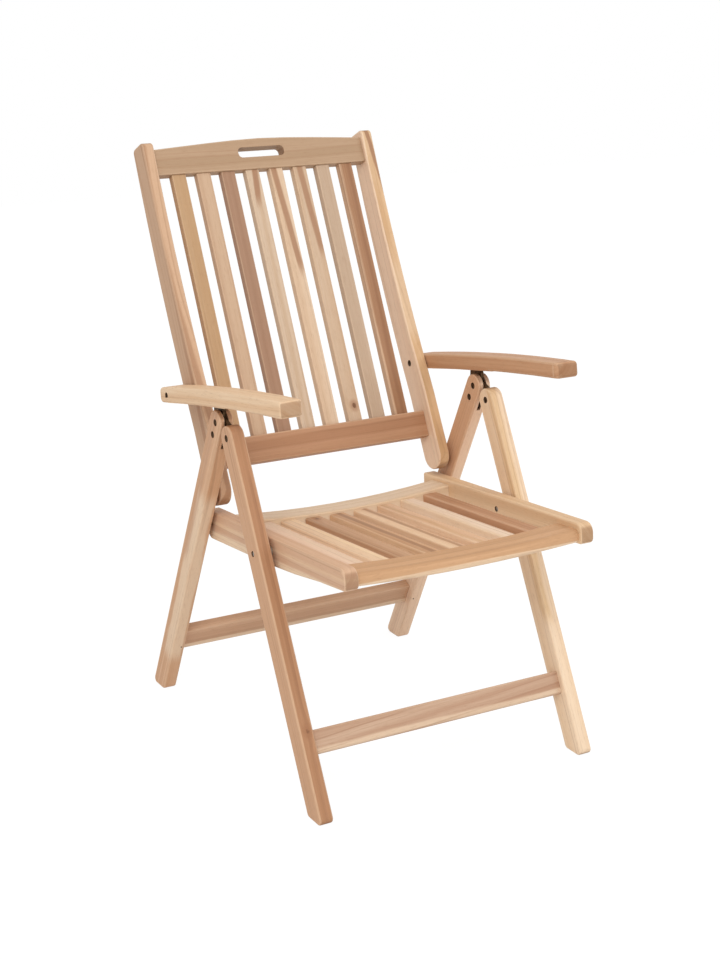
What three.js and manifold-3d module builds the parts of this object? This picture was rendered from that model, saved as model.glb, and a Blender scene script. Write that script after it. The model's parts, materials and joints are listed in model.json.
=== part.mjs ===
// A folding garden armchair of solid teak, with a high slatted back that reclines in five steps.
//
// Lengths are millimetres and angles are degrees. The floor is Z = 0, the front is -Y,
// and left means -X, as someone sees it who stands before the chair.
//
// The front and the rear legs hang on steel link plates and close like scissors about the leg pivot.
// The seat turns on the front legs, and a pin on each of its side rails runs in a groove of the rear leg.
// The back turns on the rear legs. Each armrest turns on the back, and rides with a notched groove in its
// underside on the nose of a link plate.

import * as THREE from 'three';
import * as BufferGeometryUtils from 'three/addons/utils/BufferGeometryUtils.js';
import Module from 'manifold-3d';

const wasm = await Module();
wasm.setup();

// Clearances
const jointGap = 0.3;
const boreClearance = 0.5;
const slotClearance = 0.6;
const plateSweepClearance = 1;
const overrun = 6;

// Leg frames
const pivotHeight = 590;
const legInnerWidth = 512.8;
const legThickness = 26;
const legDepth = 44;
const legFoldGap = 3;
const frontLegLeanDegrees = 28.5;
const rearLegLeanDegrees = 24.5;
const footRadius = 9;
const frontStretcherRise = 130.4;
const frontStretcherHeight = 42;
const rearStretcherRise = 122.8;
const rearStretcherHeight = 48;
const rearStretcherSetback = 4;
const stretcherThickness = 22;
const stretcherTenonLength = 14;
const stretcherTenonShoulder = 6;
const stretcherPinRadius = 1.5;
const stretcherPinLength = 30;

// Link plates
const plateThickness = 6;
const plateLobeRadius = 15;
const plateBoltDrop = 2;
const plateBoltSpacing = 27;
const rearSlotDepth = 44.7;
const noseForwardOffset = 50;
const noseRise = 57.5;
const noseRadius = 5.5;
const neckWidth = 36;
const neckShoulderDrop = 9;
const neckCornerRadius = 5;

// Bolts and pins
const boltRadius = 4;
const boltHeadRadius = 5.8;
const boltHeadThickness = 3;
const boltRecess = 2;
const seatBoltHeadRadius = 4.8;
const guidePinRadius = 4;
const guidePinDepth = 5;
const guideGrooveDepth = 6;
const guideGrooveClearance = 1;
const backPinRadius = 4.5;
const backPinDepth = 18;
const spacerRadius = 10;
const washerRadius = 9;

// Seat
const seatTiltDegrees = 5.34;
const seatPivotDrop = 205.5;
const seatRailThickness = 26.4;
const seatRailSideGap = 8.2;
const seatRailTop = 23.8;
const seatRailRear = 254;
const seatRailFront = 260.5;
const seatRailRearHeight = 54;
const seatRailPivotHeight = 51;
const seatRailFrontHeight = 37;
const seatRailNoseRadius = 18;
const seatRailChinRadius = 9;
const seatRailHeelRadius = 16;
const guidePinReach = 236.4;
const rearRailSetback = 162;
const rearRailDepth = 59;
const rearRailThickness = 25;
const rearRailDrop = 8.6;
const rearRailDish = 11.5;
const frontRailSetback = 252.6;
const frontRailDepth = 63;
const frontRailEndHeight = 24;
const frontRailDrop = 11;
const frontRailDish = 8;
const frontRailBow = 6.5;
const frontRailNoseRadius = 10;
const seatSlatCount = 8;
const seatSlatWidth = 31;
const seatSlatEndGap = 27.1;
const seatSlatThickness = 16;
const seatSlatDrop = 5.5;
const seatTenonLength = 12;
const seatTenonShoulder = 6;

// Back
const backLeanDegrees = 26.7;
const backPivotSetback = 13.1;
const backPivotDrop = 189.2;
const backSideGap = 10.2;
const stileThickness = 23;
const stileEndFromPivot = 20;
const stileLength = 690;
const stileFootFront = 39;
const stileFootDepth = 59.5;
const stileFootRadius = 29;
const stileTopFront = 19.5;
const stileTopDepth = 46.5;
const stileTopRadius = 9;
const stileBow = 9;
const stileBowFromPivot = 130;
const topRailFromStileTop = 12.7;
const topRailEndHeight = 50;
const topRailCrown = 11;
const topRailFront = 11.15;
const backRailThickness = 25;
const lowerRailFromPivot = 46;
const lowerRailHeight = 51;
const lowerRailFront = 15.65;
const gripLength = 98;
const gripHeight = 20;
const gripFromRailBottom = 23.7;
const gripCornerRadius = 8;
const backSlatCount = 8;
const backSlatWidth = 28.5;
const backSlatThickness = 16;
const backSlatFront = 6.65;
const backSlatEndGap = 29.75;
const backTenonLength = 12;
const backTenonShoulder = 6;

// Armrests
const armPivotReach = 194.6;
const armPivotLeadDegrees = 1.1;
const armSlopeDegrees = 10.1;
const armThickness = 28.2;
const armFront = 452.5;
const armRear = 30;
const armOverhang = 13.5;
const armBoltDrop = 1.2;
const armFrontWidth = 43.8;
const armSideGap = 1.8;
const armWaist = 60;
const armArch = 5;
const armBow = 2;
const armFrontRadius = 7;
const armRearRadius = 9;
const armCornerRadius = 12;
const notchCount = 5;
const notchDepth = 3;

// Movements
const foldRangeDegrees = 53;
const reclineRangeDegrees = 30;

// Facets: the angle that one facet of a round stretch spans, the facets of a bore or pin, and the
// steps of a bend or of a piece's sweep as it moves
const arcStepDegrees = 15;
const boreFacets = 16;
const bendSteps = 8;
const sweepSteps = 6;

const colours = {
  paleTeak: 0xe0c39e,
  honeyTeak: 0xcfa378,
  tanTeak: 0xc49a72,
  rosyTeak: 0xb98763,
  steel: 0x6b6660,
};

const radians = THREE.MathUtils.degToRad;
const sides = { left: -1, right: 1 };

// Places across the chair, each measured from its middle
const legInner = legInnerWidth / 2;
const legOuter = legInner + legThickness;
const plateMiddle = legInner + legThickness / 2;
const railOuter = legInner - seatRailSideGap;
const railInner = railOuter - seatRailThickness;
const stileOuter = legInner - backSideGap;
const stileInner = stileOuter - stileThickness;
const armOuter = legOuter + armOverhang;
const armInnerFront = armOuter - armFrontWidth;
const armInnerRear = stileOuter + armSideGap;

// Places in the side view, as (y, z) with the leg pivot at Y = 0
const along = (lean) => new THREE.Vector2(Math.sin(radians(lean)), Math.cos(radians(lean)));
const across = (lean) => new THREE.Vector2(Math.cos(radians(lean)), -Math.sin(radians(lean)));
const offsetFrom = (origin, lean, y, z) => origin.clone()
  .addScaledVector(across(lean), y)
  .addScaledVector(along(lean), z);
const legPivot = new THREE.Vector2(0, pivotHeight);
const plateBolt = offsetFrom(legPivot, -rearLegLeanDegrees, legDepth + legFoldGap, -plateBoltDrop);
const lowerPlateBolt = offsetFrom(plateBolt, -rearLegLeanDegrees, 0, -plateBoltSpacing);
const seatPivot = offsetFrom(legPivot, frontLegLeanDegrees, 0, -seatPivotDrop);
const backPivot = offsetFrom(plateBolt, -rearLegLeanDegrees, backPivotSetback, -backPivotDrop);
const armPivot = offsetFrom(backPivot, backLeanDegrees - armPivotLeadDegrees, 0, armPivotReach);
const nose = legPivot.clone().add(new THREE.Vector2(noseForwardOffset, noseRise));

/** The point turned about a centre, as a hinge on +X turns it. */
function turned(point, centre, degrees) {
  return point.clone().rotateAround(centre, radians(degrees));
}

/** The direction from one point to another, in degrees above +Y. */
function bearing(from, to) {
  return THREE.MathUtils.radToDeg(Math.atan2(to.y - from.y, to.x - from.x));
}

/** The direction from the seat pivot to the guide pin that keeps the pin in line with its groove. */
function guidedBearing(fold) {
  const pivot = turned(seatPivot, legPivot, fold);
  const pin = offsetFrom(seatPivot, seatTiltDegrees, guidePinReach, 0);
  const offset = pin.clone().sub(pivot).dot(across(-rearLegLeanDegrees));
  return rearLegLeanDegrees - THREE.MathUtils.radToDeg(Math.acos(offset / guidePinReach));
}

// The turn of each follower for one degree of the joint it follows
const seatRatio = (guidedBearing(foldRangeDegrees) + seatTiltDegrees) / foldRangeDegrees - 1;
const reclinedArmPivot = turned(armPivot, backPivot, -reclineRangeDegrees);
const armReclineTurn = bearing(nose, reclinedArmPivot) - bearing(nose, armPivot);
const armReclineRatio = armReclineTurn / reclineRangeDegrees + 1;

/** Where the guide pin is in the side view when the legs are folded by this many degrees. */
function guidePinAt(fold) {
  const pivot = turned(seatPivot, legPivot, fold);
  return offsetFrom(pivot, seatTiltDegrees - fold * (1 + seatRatio), guidePinReach, 0);
}

/** Where the nose is in the armrest's own frame when the back is reclined by this many degrees. */
function noseInArmrest(recline) {
  const pivot = turned(armPivot, backPivot, -recline);
  const slope = armSlopeDegrees + recline * (1 - armReclineRatio);
  const toNose = nose.clone().sub(pivot);
  return new THREE.Vector2(toNose.dot(across(slope)), toNose.dot(along(slope)));
}

/** A closed outline through the corners [y, z, radius], counter-clockwise, each rounded by its radius. */
function rounded(corners) {
  const points = [];
  const places = corners.map(([y, z]) => new THREE.Vector2(y, z));
  corners.forEach(([, , radius = 0], index) => {
    const corner = places[index];
    if (radius === 0) {
      points.push(corner);
      return;
    }
    const before = places.at(index - 1).clone().sub(corner).normalize();
    const after = places[(index + 1) % places.length].clone().sub(corner).normalize();
    const half = Math.acos(before.dot(after)) / 2;
    const inward = before.clone().add(after).normalize();
    const centre = corner.clone().addScaledVector(inward, radius / Math.sin(half));
    const start = before.multiplyScalar(radius / Math.tan(half)).add(corner).sub(centre);
    const sweep = Math.PI - 2 * half;
    const steps = Math.max(2, Math.ceil(sweep / radians(arcStepDegrees)));
    for (let step = 0; step <= steps; step += 1) {
      points.push(start.clone().rotateAround(new THREE.Vector2(), (sweep * step) / steps).add(centre));
    }
  });
  return new THREE.Shape(points);
}

/** Outline of a band of this half width along a run of points, with round ends. */
function band(run, halfWidth) {
  const steps = Math.ceil(180 / arcStepDegrees);
  const points = [];
  for (const track of [run, [...run].reverse()]) {
    track.slice(0, -1).forEach((point, index) => {
      const ahead = track[index + 1].clone().sub(point).normalize();
      const side = new THREE.Vector2(ahead.y, -ahead.x).multiplyScalar(halfWidth);
      if (index > 0) points.push(point.clone().add(side));
    });
    const end = track.at(-1);
    const heading = end.clone().sub(track.at(-2)).normalize();
    const side = new THREE.Vector2(heading.y, -heading.x).multiplyScalar(halfWidth);
    for (let step = 0; step <= steps; step += 1) {
      points.push(side.clone().rotateAround(new THREE.Vector2(), (Math.PI * step) / steps).add(end));
    }
  }
  return new THREE.Shape(points);
}

const sideView = new THREE.Matrix4().makeBasis(
  new THREE.Vector3(0, 1, 0),
  new THREE.Vector3(0, 0, 1),
  new THREE.Vector3(1, 0, 0),
);
const frontView = new THREE.Matrix4().makeBasis(
  new THREE.Vector3(1, 0, 0),
  new THREE.Vector3(0, 0, 1),
  new THREE.Vector3(0, -1, 0),
);

/** A side-view outline carried from one X to another, in either order. */
function fromSide(shape, oneX, otherX, steps = 1) {
  const depth = Math.abs(otherX - oneX);
  const geometry = new THREE.ExtrudeGeometry(shape, { depth, steps, bevelEnabled: false });
  geometry.applyMatrix4(sideView);
  return geometry.translate(Math.min(oneX, otherX), 0, 0);
}

/** A front-view outline (x, z) carried from the rear Y to the front Y. */
function fromFront(shape, frontY, rearY) {
  const geometry = new THREE.ExtrudeGeometry(shape, { depth: rearY - frontY, bevelEnabled: false });
  geometry.applyMatrix4(frontView);
  return geometry.translate(0, rearY, 0);
}

/** A box between two corners, each pair of limits in either order. */
function box(xLimits, yLimits, zLimits) {
  const limits = [xLimits, yLimits, zLimits];
  const size = limits.map(([one, other]) => Math.abs(other - one));
  const middle = limits.map(([one, other]) => (one + other) / 2);
  return new THREE.BoxGeometry(...size).translate(...middle);
}

/** A round rod along X. */
function rod(y, z, radius, oneX, otherX) {
  const geometry = new THREE.CylinderGeometry(radius, radius, Math.abs(otherX - oneX), boreFacets);
  return geometry.rotateZ(Math.PI / 2).translate((oneX + otherX) / 2, y, z);
}

/** A ring along X round a bolt. */
function ring(y, z, outerRadius, innerRadius, oneX, otherX) {
  const length = Math.abs(otherX - oneX);
  const profile = [
    [innerRadius, 0], [outerRadius, 0], [outerRadius, length], [innerRadius, length], [innerRadius, 0],
  ].map(([x, height]) => new THREE.Vector2(x, height));
  const geometry = new THREE.LatheGeometry(profile, boreFacets);
  return geometry.rotateZ(-Math.PI / 2).translate(Math.min(oneX, otherX), y, z);
}

/** A bolt along X with a flat head at each end, in (y, z). */
function bolt(y, z, oneX, otherX, headRadius = boltHeadRadius) {
  const length = Math.abs(otherX - oneX);
  const profile = [
    [0, 0], [headRadius, 0], [headRadius, boltHeadThickness], [boltRadius, boltHeadThickness],
    [boltRadius, length - boltHeadThickness], [headRadius, length - boltHeadThickness],
    [headRadius, length], [0, length],
  ].map(([x, height]) => new THREE.Vector2(x, height));
  const geometry = new THREE.LatheGeometry(profile, boreFacets);
  return geometry.rotateZ(-Math.PI / 2).translate(Math.min(oneX, otherX), y, z);
}

/** Cutters for a bolt's bore and for the recesses of its two heads. */
function boltBore(y, z, oneX, otherX, headRadius = boltHeadRadius) {
  const low = Math.min(oneX, otherX);
  const high = Math.max(oneX, otherX);
  const recess = boltRecess + boltHeadThickness + jointGap;
  const clear = headRadius + boreClearance;
  return [
    rod(y, z, boltRadius + boreClearance, low - overrun, high + overrun),
    rod(y, z, clear, low - overrun, low + recess),
    rod(y, z, clear, high - recess, high + overrun),
  ];
}

/** The closed solid of a geometry, ready to be cut or joined. */
function solid(geometry) {
  const bare = geometry.clone();
  bare.deleteAttribute('normal');
  bare.deleteAttribute('uv');
  const merged = BufferGeometryUtils.mergeVertices(bare);
  return new wasm.Manifold(new wasm.Mesh({
    numProp: 3,
    vertProperties: merged.attributes.position.array,
    triVerts: Uint32Array.from(merged.index.array),
  }));
}

/** The geometry of a solid that was cut or joined. */
function surface(body) {
  const mesh = body.getMesh();
  const geometry = new THREE.BufferGeometry();
  geometry.setAttribute('position', new THREE.BufferAttribute(Float32Array.from(mesh.vertProperties), 3));
  geometry.setIndex(new THREE.BufferAttribute(Uint32Array.from(mesh.triVerts), 1));
  geometry.computeVertexNormals();
  return geometry;
}

/** The geometry less its cutters. */
function cut(geometry, cutters) {
  return surface(cutters.reduce((body, cutter) => body.subtract(solid(cutter)), solid(geometry)));
}

/** The geometries as one solid. */
function joined(geometries) {
  const [first, ...rest] = geometries.map(solid);
  return surface(rest.reduce((body, other) => body.add(other), first));
}

/** Moves each vertex of a geometry by a function of its place. */
function bent(geometry, move) {
  const position = geometry.attributes.position;
  const vertex = new THREE.Vector3();
  for (let index = 0; index < position.count; index += 1) {
    vertex.fromBufferAttribute(position, index);
    move(vertex);
    position.setXYZ(index, vertex.x, vertex.y, vertex.z);
  }
  geometry.computeVertexNormals();
  return geometry;
}

/** A box made larger by the joint gap on every side, to cut the mortise for it. */
function mortise(xLimits, yLimits, zLimits) {
  const grown = [xLimits, yLimits, zLimits].map(([one, other]) => [
    Math.min(one, other) - jointGap,
    Math.max(one, other) + jointGap,
  ]);
  return box(...grown);
}

/** A named mesh in one colour. */
function piece(name, geometry, colour, metalness = 0) {
  const roughness = metalness > 0 ? 0.4 : 0.65;
  const material = new THREE.MeshStandardMaterial({ color: colour, roughness, metalness });
  const mesh = new THREE.Mesh(geometry, material);
  mesh.name = name;
  return mesh;
}

/** Adds a steel piece on each side of the chair, made by a function of the side. */
function addSteelPair(group, name, make) {
  for (const [sideName, side] of Object.entries(sides)) {
    group.add(piece(`${name}_${sideName}`, make(side), colours.steel, 1));
  }
}

/** A group at a side-view point, leaning back by an angle, with +Y to its rear and +Z along the lean. */
function leaning(point, lean) {
  const group = new THREE.Group();
  group.position.set(0, point.x, point.y);
  group.rotation.x = -radians(lean);
  return group;
}

/** How much lower a dished edge is at this X: the whole dish in the middle, none at the half width. */
function dishAt(x, dish, halfWidth) {
  return dish * (1 - (x / halfWidth) ** 2);
}

/** The crown of the back's top rail at this X: two nearly straight slopes that meet in a soft curve. */
function crownAt(x) {
  const softShare = 0.3;
  const rise = (share) => Math.hypot(share, softShare) - softShare;
  return topRailCrown * (1 - rise(x / stileInner) / rise(1));
}

/** Places of equal slats across an opening, with this gap at each end and equal gaps between them. */
function slatPlaces(count, width, opening, endGap) {
  const first = -opening / 2 + endGap + width / 2;
  const pitch = (-2 * first) / (count - 1);
  return Array.from({ length: count }, (_, index) => first + index * pitch);
}

/** Leg outline in its own frame: a round head about the origin and a foot cut level with the floor. */
function legOutline(headHeight, lean) {
  const half = legDepth / 2;
  const footAt = (y) => (y * Math.sin(radians(lean)) - headHeight) / Math.cos(radians(lean));
  return rounded([
    [-half, half, half],
    [-half, footAt(-half), footRadius],
    [half, footAt(half), footRadius],
    [half, half, half],
  ].map(([y, z, radius]) => [y, z, Math.min(radius, half - jointGap)]));
}

/** Limits of a stretcher's tenon beyond the inner face of the leg on one side. */
function stretcherTenon(side, setback, drop, height) {
  const halfThickness = stretcherThickness / 2 - stretcherTenonShoulder;
  const halfHeight = height / 2 - stretcherTenonShoulder;
  return [
    [side * (legInner - jointGap), side * (legInner + stretcherTenonLength)],
    [setback - halfThickness, setback + halfThickness],
    [-drop - halfHeight, -drop + halfHeight],
  ];
}

/** The pin that locks a stretcher's tenon, from the leg's face inwards along Y, or the bore for it. */
function stretcherPin(side, face, drop, isBore = false) {
  const outward = Math.sign(face);
  const clearance = isBore ? jointGap : 0;
  const outer = face + outward * (isBore ? overrun : 0);
  const inner = face - outward * (stretcherPinLength + clearance);
  const radius = stretcherPinRadius + clearance;
  const geometry = new THREE.CylinderGeometry(radius, radius, Math.abs(outer - inner), boreFacets / 2);
  return geometry.translate(side * (legInner + stretcherTenonLength / 2), (outer + inner) / 2, -drop);
}

/** A stretcher between the legs, with a tenon at each end and a soft lower front edge. */
function stretcher(name, setback, drop, height, face, colour) {
  const half = stretcherThickness / 2;
  const end = legInner - jointGap;
  const section = rounded([
    [setback - half, -drop + height / 2],
    [setback - half, -drop - height / 2, half / 2],
    [setback + half, -drop - height / 2, half / 4],
    [setback + half, -drop + height / 2],
  ]);
  const tenons = Object.values(sides).map((side) => box(...stretcherTenon(side, setback, drop, height)));
  const body = joined([fromSide(section, -end, end), ...tenons]);
  const pinBores = Object.values(sides).map((side) => stretcherPin(side, face, drop, true));
  return piece(name, cut(body, pinBores), colour);
}

/** The rear legs with their stretcher, the link plates and the bolts that stay with them. */
function rearFrame() {
  const group = leaning(plateBolt, -rearLegLeanDegrees);
  const face = -legDepth / 2;
  const drop = plateBolt.y / Math.cos(radians(rearLegLeanDegrees)) - rearStretcherRise;
  const track = [];
  for (let step = 0; step <= sweepSteps; step += 1) {
    const pin = guidePinAt((foldRangeDegrees * step) / sweepSteps).sub(plateBolt);
    track.push(new THREE.Vector2(pin.dot(across(-rearLegLeanDegrees)), pin.dot(along(-rearLegLeanDegrees))));
  }
  const groove = band(track, guidePinRadius + guideGrooveClearance);
  for (const [sideName, side] of Object.entries(sides)) {
    const slotHalf = plateThickness / 2 + slotClearance;
    const cutters = [
      box(
        [side * (plateMiddle - slotHalf), side * (plateMiddle + slotHalf)],
        [-legDepth, legDepth],
        [-rearSlotDepth, legDepth],
      ),
      ...boltBore(0, 0, side * legInner, side * legOuter),
      ...boltBore(0, -plateBoltSpacing, side * legInner, side * legOuter),
      mortise(...stretcherTenon(side, rearStretcherSetback, drop, rearStretcherHeight)),
      stretcherPin(side, face, drop, true),
      fromSide(groove, side * (legInner - overrun), side * (legInner + guideGrooveDepth)),
      rod(
        backPivotSetback, -backPivotDrop, backPinRadius + boreClearance,
        side * (legInner - overrun), side * (legInner + backPinDepth + jointGap),
      ),
    ];
    const blank = fromSide(legOutline(plateBolt.y, -rearLegLeanDegrees), side * legInner, side * legOuter);
    const colour = side < 0 ? colours.paleTeak : colours.tanTeak;
    group.add(piece(`rear_leg_${sideName}`, cut(blank, cutters), colour));
  }
  group.add(stretcher(
    'rear_stretcher', rearStretcherSetback, drop, rearStretcherHeight, face, colours.rosyTeak,
  ));
  addSteelPair(group, 'rear_stretcher_pin', (side) => stretcherPin(side, face, drop));
  for (const [place, z] of Object.entries({ upper: 0, lower: -plateBoltSpacing })) {
    addSteelPair(group, `link_plate_${place}_bolt`, (side) => (
      bolt(0, z, side * (legInner + boltRecess), side * (legOuter - boltRecess))
    ));
  }
  return group;
}

/** The link plates and the leg pivot bolts, in a frame that stands level at the leg pivot. */
function linkPlates() {
  const group = leaning(legPivot, 0);
  const upper = plateBolt.clone().sub(legPivot);
  const lower = lowerPlateBolt.clone().sub(legPivot);
  const tip = nose.clone().sub(legPivot);
  const shoulder = tip.y - neckShoulderDrop;
  const neck = rounded([
    [tip.x - neckWidth / 2, shoulder, neckCornerRadius],
    [tip.x - neckWidth / 2, upper.y],
    [tip.x + neckWidth / 2, upper.y],
    [tip.x + neckWidth / 2, shoulder, neckCornerRadius],
  ]);
  const outlines = [
    band([new THREE.Vector2(), upper], plateLobeRadius),
    band([upper, lower], plateLobeRadius),
    band([new THREE.Vector2(tip.x, upper.y), tip], noseRadius),
    neck,
  ];
  for (const [sideName, side] of Object.entries(sides)) {
    const near = side * (plateMiddle - plateThickness / 2);
    const far = side * (plateMiddle + plateThickness / 2);
    const blank = joined(outlines.map((shape) => fromSide(shape, near, far)));
    const bores = [new THREE.Vector2(), upper, lower].map(({ x, y }) => (
      rod(x, y, boltRadius + boreClearance, near - side * overrun, far + side * overrun)
    ));
    group.add(piece(`link_plate_${sideName}`, cut(blank, bores), colours.steel, 1));
  }
  addSteelPair(group, 'leg_pivot_bolt', (side) => (
    bolt(0, 0, side * (legInner + boltRecess), side * (legOuter - boltRecess))
  ));
  return group;
}

/** The room for a link plate in a front leg as the frame folds, open to the rear and the top. */
function plateRoom(near, far) {
  const upper = plateBolt.clone().sub(legPivot);
  const middle = new THREE.Vector2();
  const reach = new THREE.Vector2(
    upper.dot(across(frontLegLeanDegrees)),
    upper.dot(along(frontLegLeanDegrees)),
  );
  const rooms = [];
  for (let step = 0; step <= sweepSteps; step += 1) {
    const end = turned(reach, middle, (-foldRangeDegrees * step) / sweepSteps);
    rooms.push(fromSide(band([middle, end], plateLobeRadius + plateSweepClearance), near, far));
  }
  return rooms;
}

/** The front legs with their stretcher, and the bolts and spacers that the seat turns on. */
function frontFrame() {
  const group = leaning(legPivot, frontLegLeanDegrees);
  const face = legDepth / 2;
  const drop = pivotHeight / Math.cos(radians(frontLegLeanDegrees)) - frontStretcherRise;
  for (const [sideName, side] of Object.entries(sides)) {
    const slotHalf = plateThickness / 2 + slotClearance;
    const boltHeadSeat = side * (legOuter - boltRecess - boltHeadThickness - jointGap);
    const cutters = [
      ...plateRoom(side * (plateMiddle - slotHalf), side * (plateMiddle + slotHalf)),
      ...boltBore(0, 0, side * legInner, side * legOuter),
      rod(0, -seatPivotDrop, boltRadius + boreClearance, side * (legInner - overrun), side * legOuter),
      rod(0, -seatPivotDrop, seatBoltHeadRadius + boreClearance, boltHeadSeat, side * (legOuter + overrun)),
      mortise(...stretcherTenon(side, 0, drop, frontStretcherHeight)),
      stretcherPin(side, face, drop, true),
    ];
    const blank = fromSide(legOutline(pivotHeight, frontLegLeanDegrees), side * legInner, side * legOuter);
    const colour = side < 0 ? colours.tanTeak : colours.paleTeak;
    group.add(piece(`front_leg_${sideName}`, cut(blank, cutters), colour));
  }
  group.add(stretcher('front_stretcher', 0, drop, frontStretcherHeight, face, colours.rosyTeak));
  addSteelPair(group, 'front_stretcher_pin', (side) => stretcherPin(side, face, drop));
  addSteelPair(group, 'seat_pivot_bolt', (side) => bolt(
    0, -seatPivotDrop, side * (railInner + boltRecess), side * (legOuter - boltRecess), seatBoltHeadRadius,
  ));
  addSteelPair(group, 'seat_pivot_spacer', (side) => ring(
    0, -seatPivotDrop, spacerRadius, boltRadius + boreClearance,
    side * (railOuter + jointGap), side * (legInner - jointGap),
  ));
  return group;
}

/** Side outline of a seat rail: straight on top, and shallower towards its rounded front end. */
function seatRailOutline() {
  const deepShares = [0, 0.35, 0.7, 1];
  const lower = deepShares.map((share) => {
    const ease = THREE.MathUtils.smoothstep(share, 0, 1);
    const height = THREE.MathUtils.lerp(seatRailPivotHeight, seatRailFrontHeight, ease);
    return [-share * (seatRailFront - seatRailNoseRadius), seatRailTop - height];
  });
  return rounded([
    [seatRailRear, seatRailTop],
    [-seatRailFront, seatRailTop, seatRailNoseRadius],
    [-seatRailFront, seatRailTop - seatRailFrontHeight, seatRailChinRadius],
    ...lower.reverse(),
    [seatRailRear, seatRailTop - seatRailRearHeight, seatRailHeelRadius],
  ]);
}

/** Height of the rear seat rail's top at this X. */
const rearRailTopAt = (x) => seatRailTop - rearRailDrop - dishAt(x, rearRailDish, railInner);

/** Limits of a cross rail's tenon in a seat rail. */
function crossRailTenon(side, front, depth, top, height) {
  return [
    [side * (railInner - jointGap), side * (railInner + seatTenonLength)],
    [front + seatTenonShoulder, front + depth - seatTenonShoulder],
    [top - height + seatTenonShoulder, top - seatTenonShoulder],
  ];
}

/** Limits of one end of a seat slat, where it enters a cross rail. */
function seatSlatTenon(x, from, to) {
  const top = rearRailTopAt(x) - seatSlatDrop;
  const half = seatSlatWidth / 2 - seatTenonShoulder;
  const shoulder = seatTenonShoulder / 2;
  return [[x - half, x + half], [from, to], [top - seatSlatThickness + shoulder, top - shoulder]];
}

/** The seat, in a frame at the seat pivot with +Y along its side rails. */
function seat() {
  const group = leaning(seatPivot, seatTiltDegrees);
  const inner = railInner - jointGap;
  const frontRailFront = -frontRailSetback;
  const frontRailRear = frontRailFront + frontRailDepth;
  const frontTop = seatRailTop - frontRailDrop;
  const rearTop = seatRailTop - rearRailDrop;
  const frontTenon = (side) => (
    crossRailTenon(side, frontRailFront, frontRailDepth, frontTop, frontRailEndHeight)
  );
  const rearTenon = (side) => (
    crossRailTenon(side, rearRailSetback, rearRailDepth, rearTop, rearRailThickness)
  );
  for (const [sideName, side] of Object.entries(sides)) {
    const cutters = [
      rod(0, 0, boltRadius + boreClearance, side * (railInner - overrun), side * (railOuter + overrun)),
      rod(
        0, 0, seatBoltHeadRadius + boreClearance,
        side * (railInner - overrun), side * (railInner + boltRecess + boltHeadThickness + jointGap),
      ),
      rod(
        guidePinReach, 0, guidePinRadius + jointGap,
        side * (railOuter - seatTenonLength - jointGap), side * (railOuter + overrun),
      ),
      mortise(...frontTenon(side)),
      mortise(...rearTenon(side)),
    ];
    const blank = fromSide(seatRailOutline(), side * railInner, side * railOuter);
    const colour = side < 0 ? colours.tanTeak : colours.honeyTeak;
    group.add(piece(`seat_rail_${sideName}`, cut(blank, cutters), colour));
  }
  addSteelPair(group, 'seat_guide_pin', (side) => rod(
    guidePinReach, 0, guidePinRadius,
    side * (railOuter - seatTenonLength), side * (legInner + guidePinDepth),
  ));

  const frontSection = rounded([
    [frontRailFront, frontTop, frontRailNoseRadius],
    [frontRailFront, frontTop - frontRailEndHeight, frontRailNoseRadius],
    [frontRailRear, frontTop - frontRailEndHeight],
    [frontRailRear, frontTop],
  ]);
  const frontBlank = bent(fromSide(frontSection, -inner, inner, bendSteps), (vertex) => {
    const share = (frontTop - vertex.z) / frontRailEndHeight;
    const sag = THREE.MathUtils.lerp(frontRailDish, frontRailBow, share);
    vertex.z -= dishAt(vertex.x, sag, inner);
  });
  const rearSection = rounded([
    [rearRailSetback, rearTop],
    [rearRailSetback, rearTop - rearRailThickness],
    [rearRailSetback + rearRailDepth, rearTop - rearRailThickness],
    [rearRailSetback + rearRailDepth, rearTop],
  ]);
  const rearBlank = bent(fromSide(rearSection, -inner, inner, bendSteps), (vertex) => {
    vertex.z -= dishAt(vertex.x, rearRailDish, inner);
  });
  const places = slatPlaces(seatSlatCount, seatSlatWidth, 2 * railInner, seatSlatEndGap);
  const frontEnd = [frontRailRear + jointGap, frontRailRear - seatTenonLength];
  const rearEnd = [rearRailSetback - jointGap, rearRailSetback + seatTenonLength];
  const withTenons = (blank, tenon) => (
    joined([blank, ...Object.values(sides).map((side) => box(...tenon(side)))])
  );
  const slatMortises = (end) => places.map((x) => mortise(...seatSlatTenon(x, ...end)));
  const frontRail = cut(withTenons(frontBlank, frontTenon), slatMortises(frontEnd));
  const rearRail = cut(withTenons(rearBlank, rearTenon), slatMortises(rearEnd));
  group.add(piece('seat_front_rail', frontRail, colours.honeyTeak));
  group.add(piece('seat_rear_rail', rearRail, colours.paleTeak));

  const slatColours = [colours.paleTeak, colours.paleTeak, colours.rosyTeak, colours.tanTeak];
  places.forEach((x, index) => {
    const top = rearRailTopAt(x) - seatSlatDrop;
    const half = seatSlatWidth / 2;
    const board = box([x - half, x + half], [frontEnd[0], rearEnd[0]], [top - seatSlatThickness, top]);
    const ends = [frontEnd, rearEnd].map((end) => box(...seatSlatTenon(x, ...end)));
    const colour = slatColours[index % slatColours.length];
    group.add(piece(`seat_slat_${index + 1}`, joined([board, ...ends]), colour));
  });
  return group;
}

/** The pins and spacers between the back and the rear legs, in a frame at the back pivot. */
function backPivots() {
  const group = leaning(backPivot, 0);
  const pinInner = stileOuter - backPinDepth;
  addSteelPair(group, 'back_pivot_pin', (side) => (
    rod(0, 0, backPinRadius, side * pinInner, side * (legInner + backPinDepth))
  ));
  addSteelPair(group, 'back_pivot_spacer', (side) => ring(
    0, 0, spacerRadius, backPinRadius + boreClearance,
    side * (stileOuter + jointGap), side * (legInner - jointGap),
  ));
  return group;
}

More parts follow.
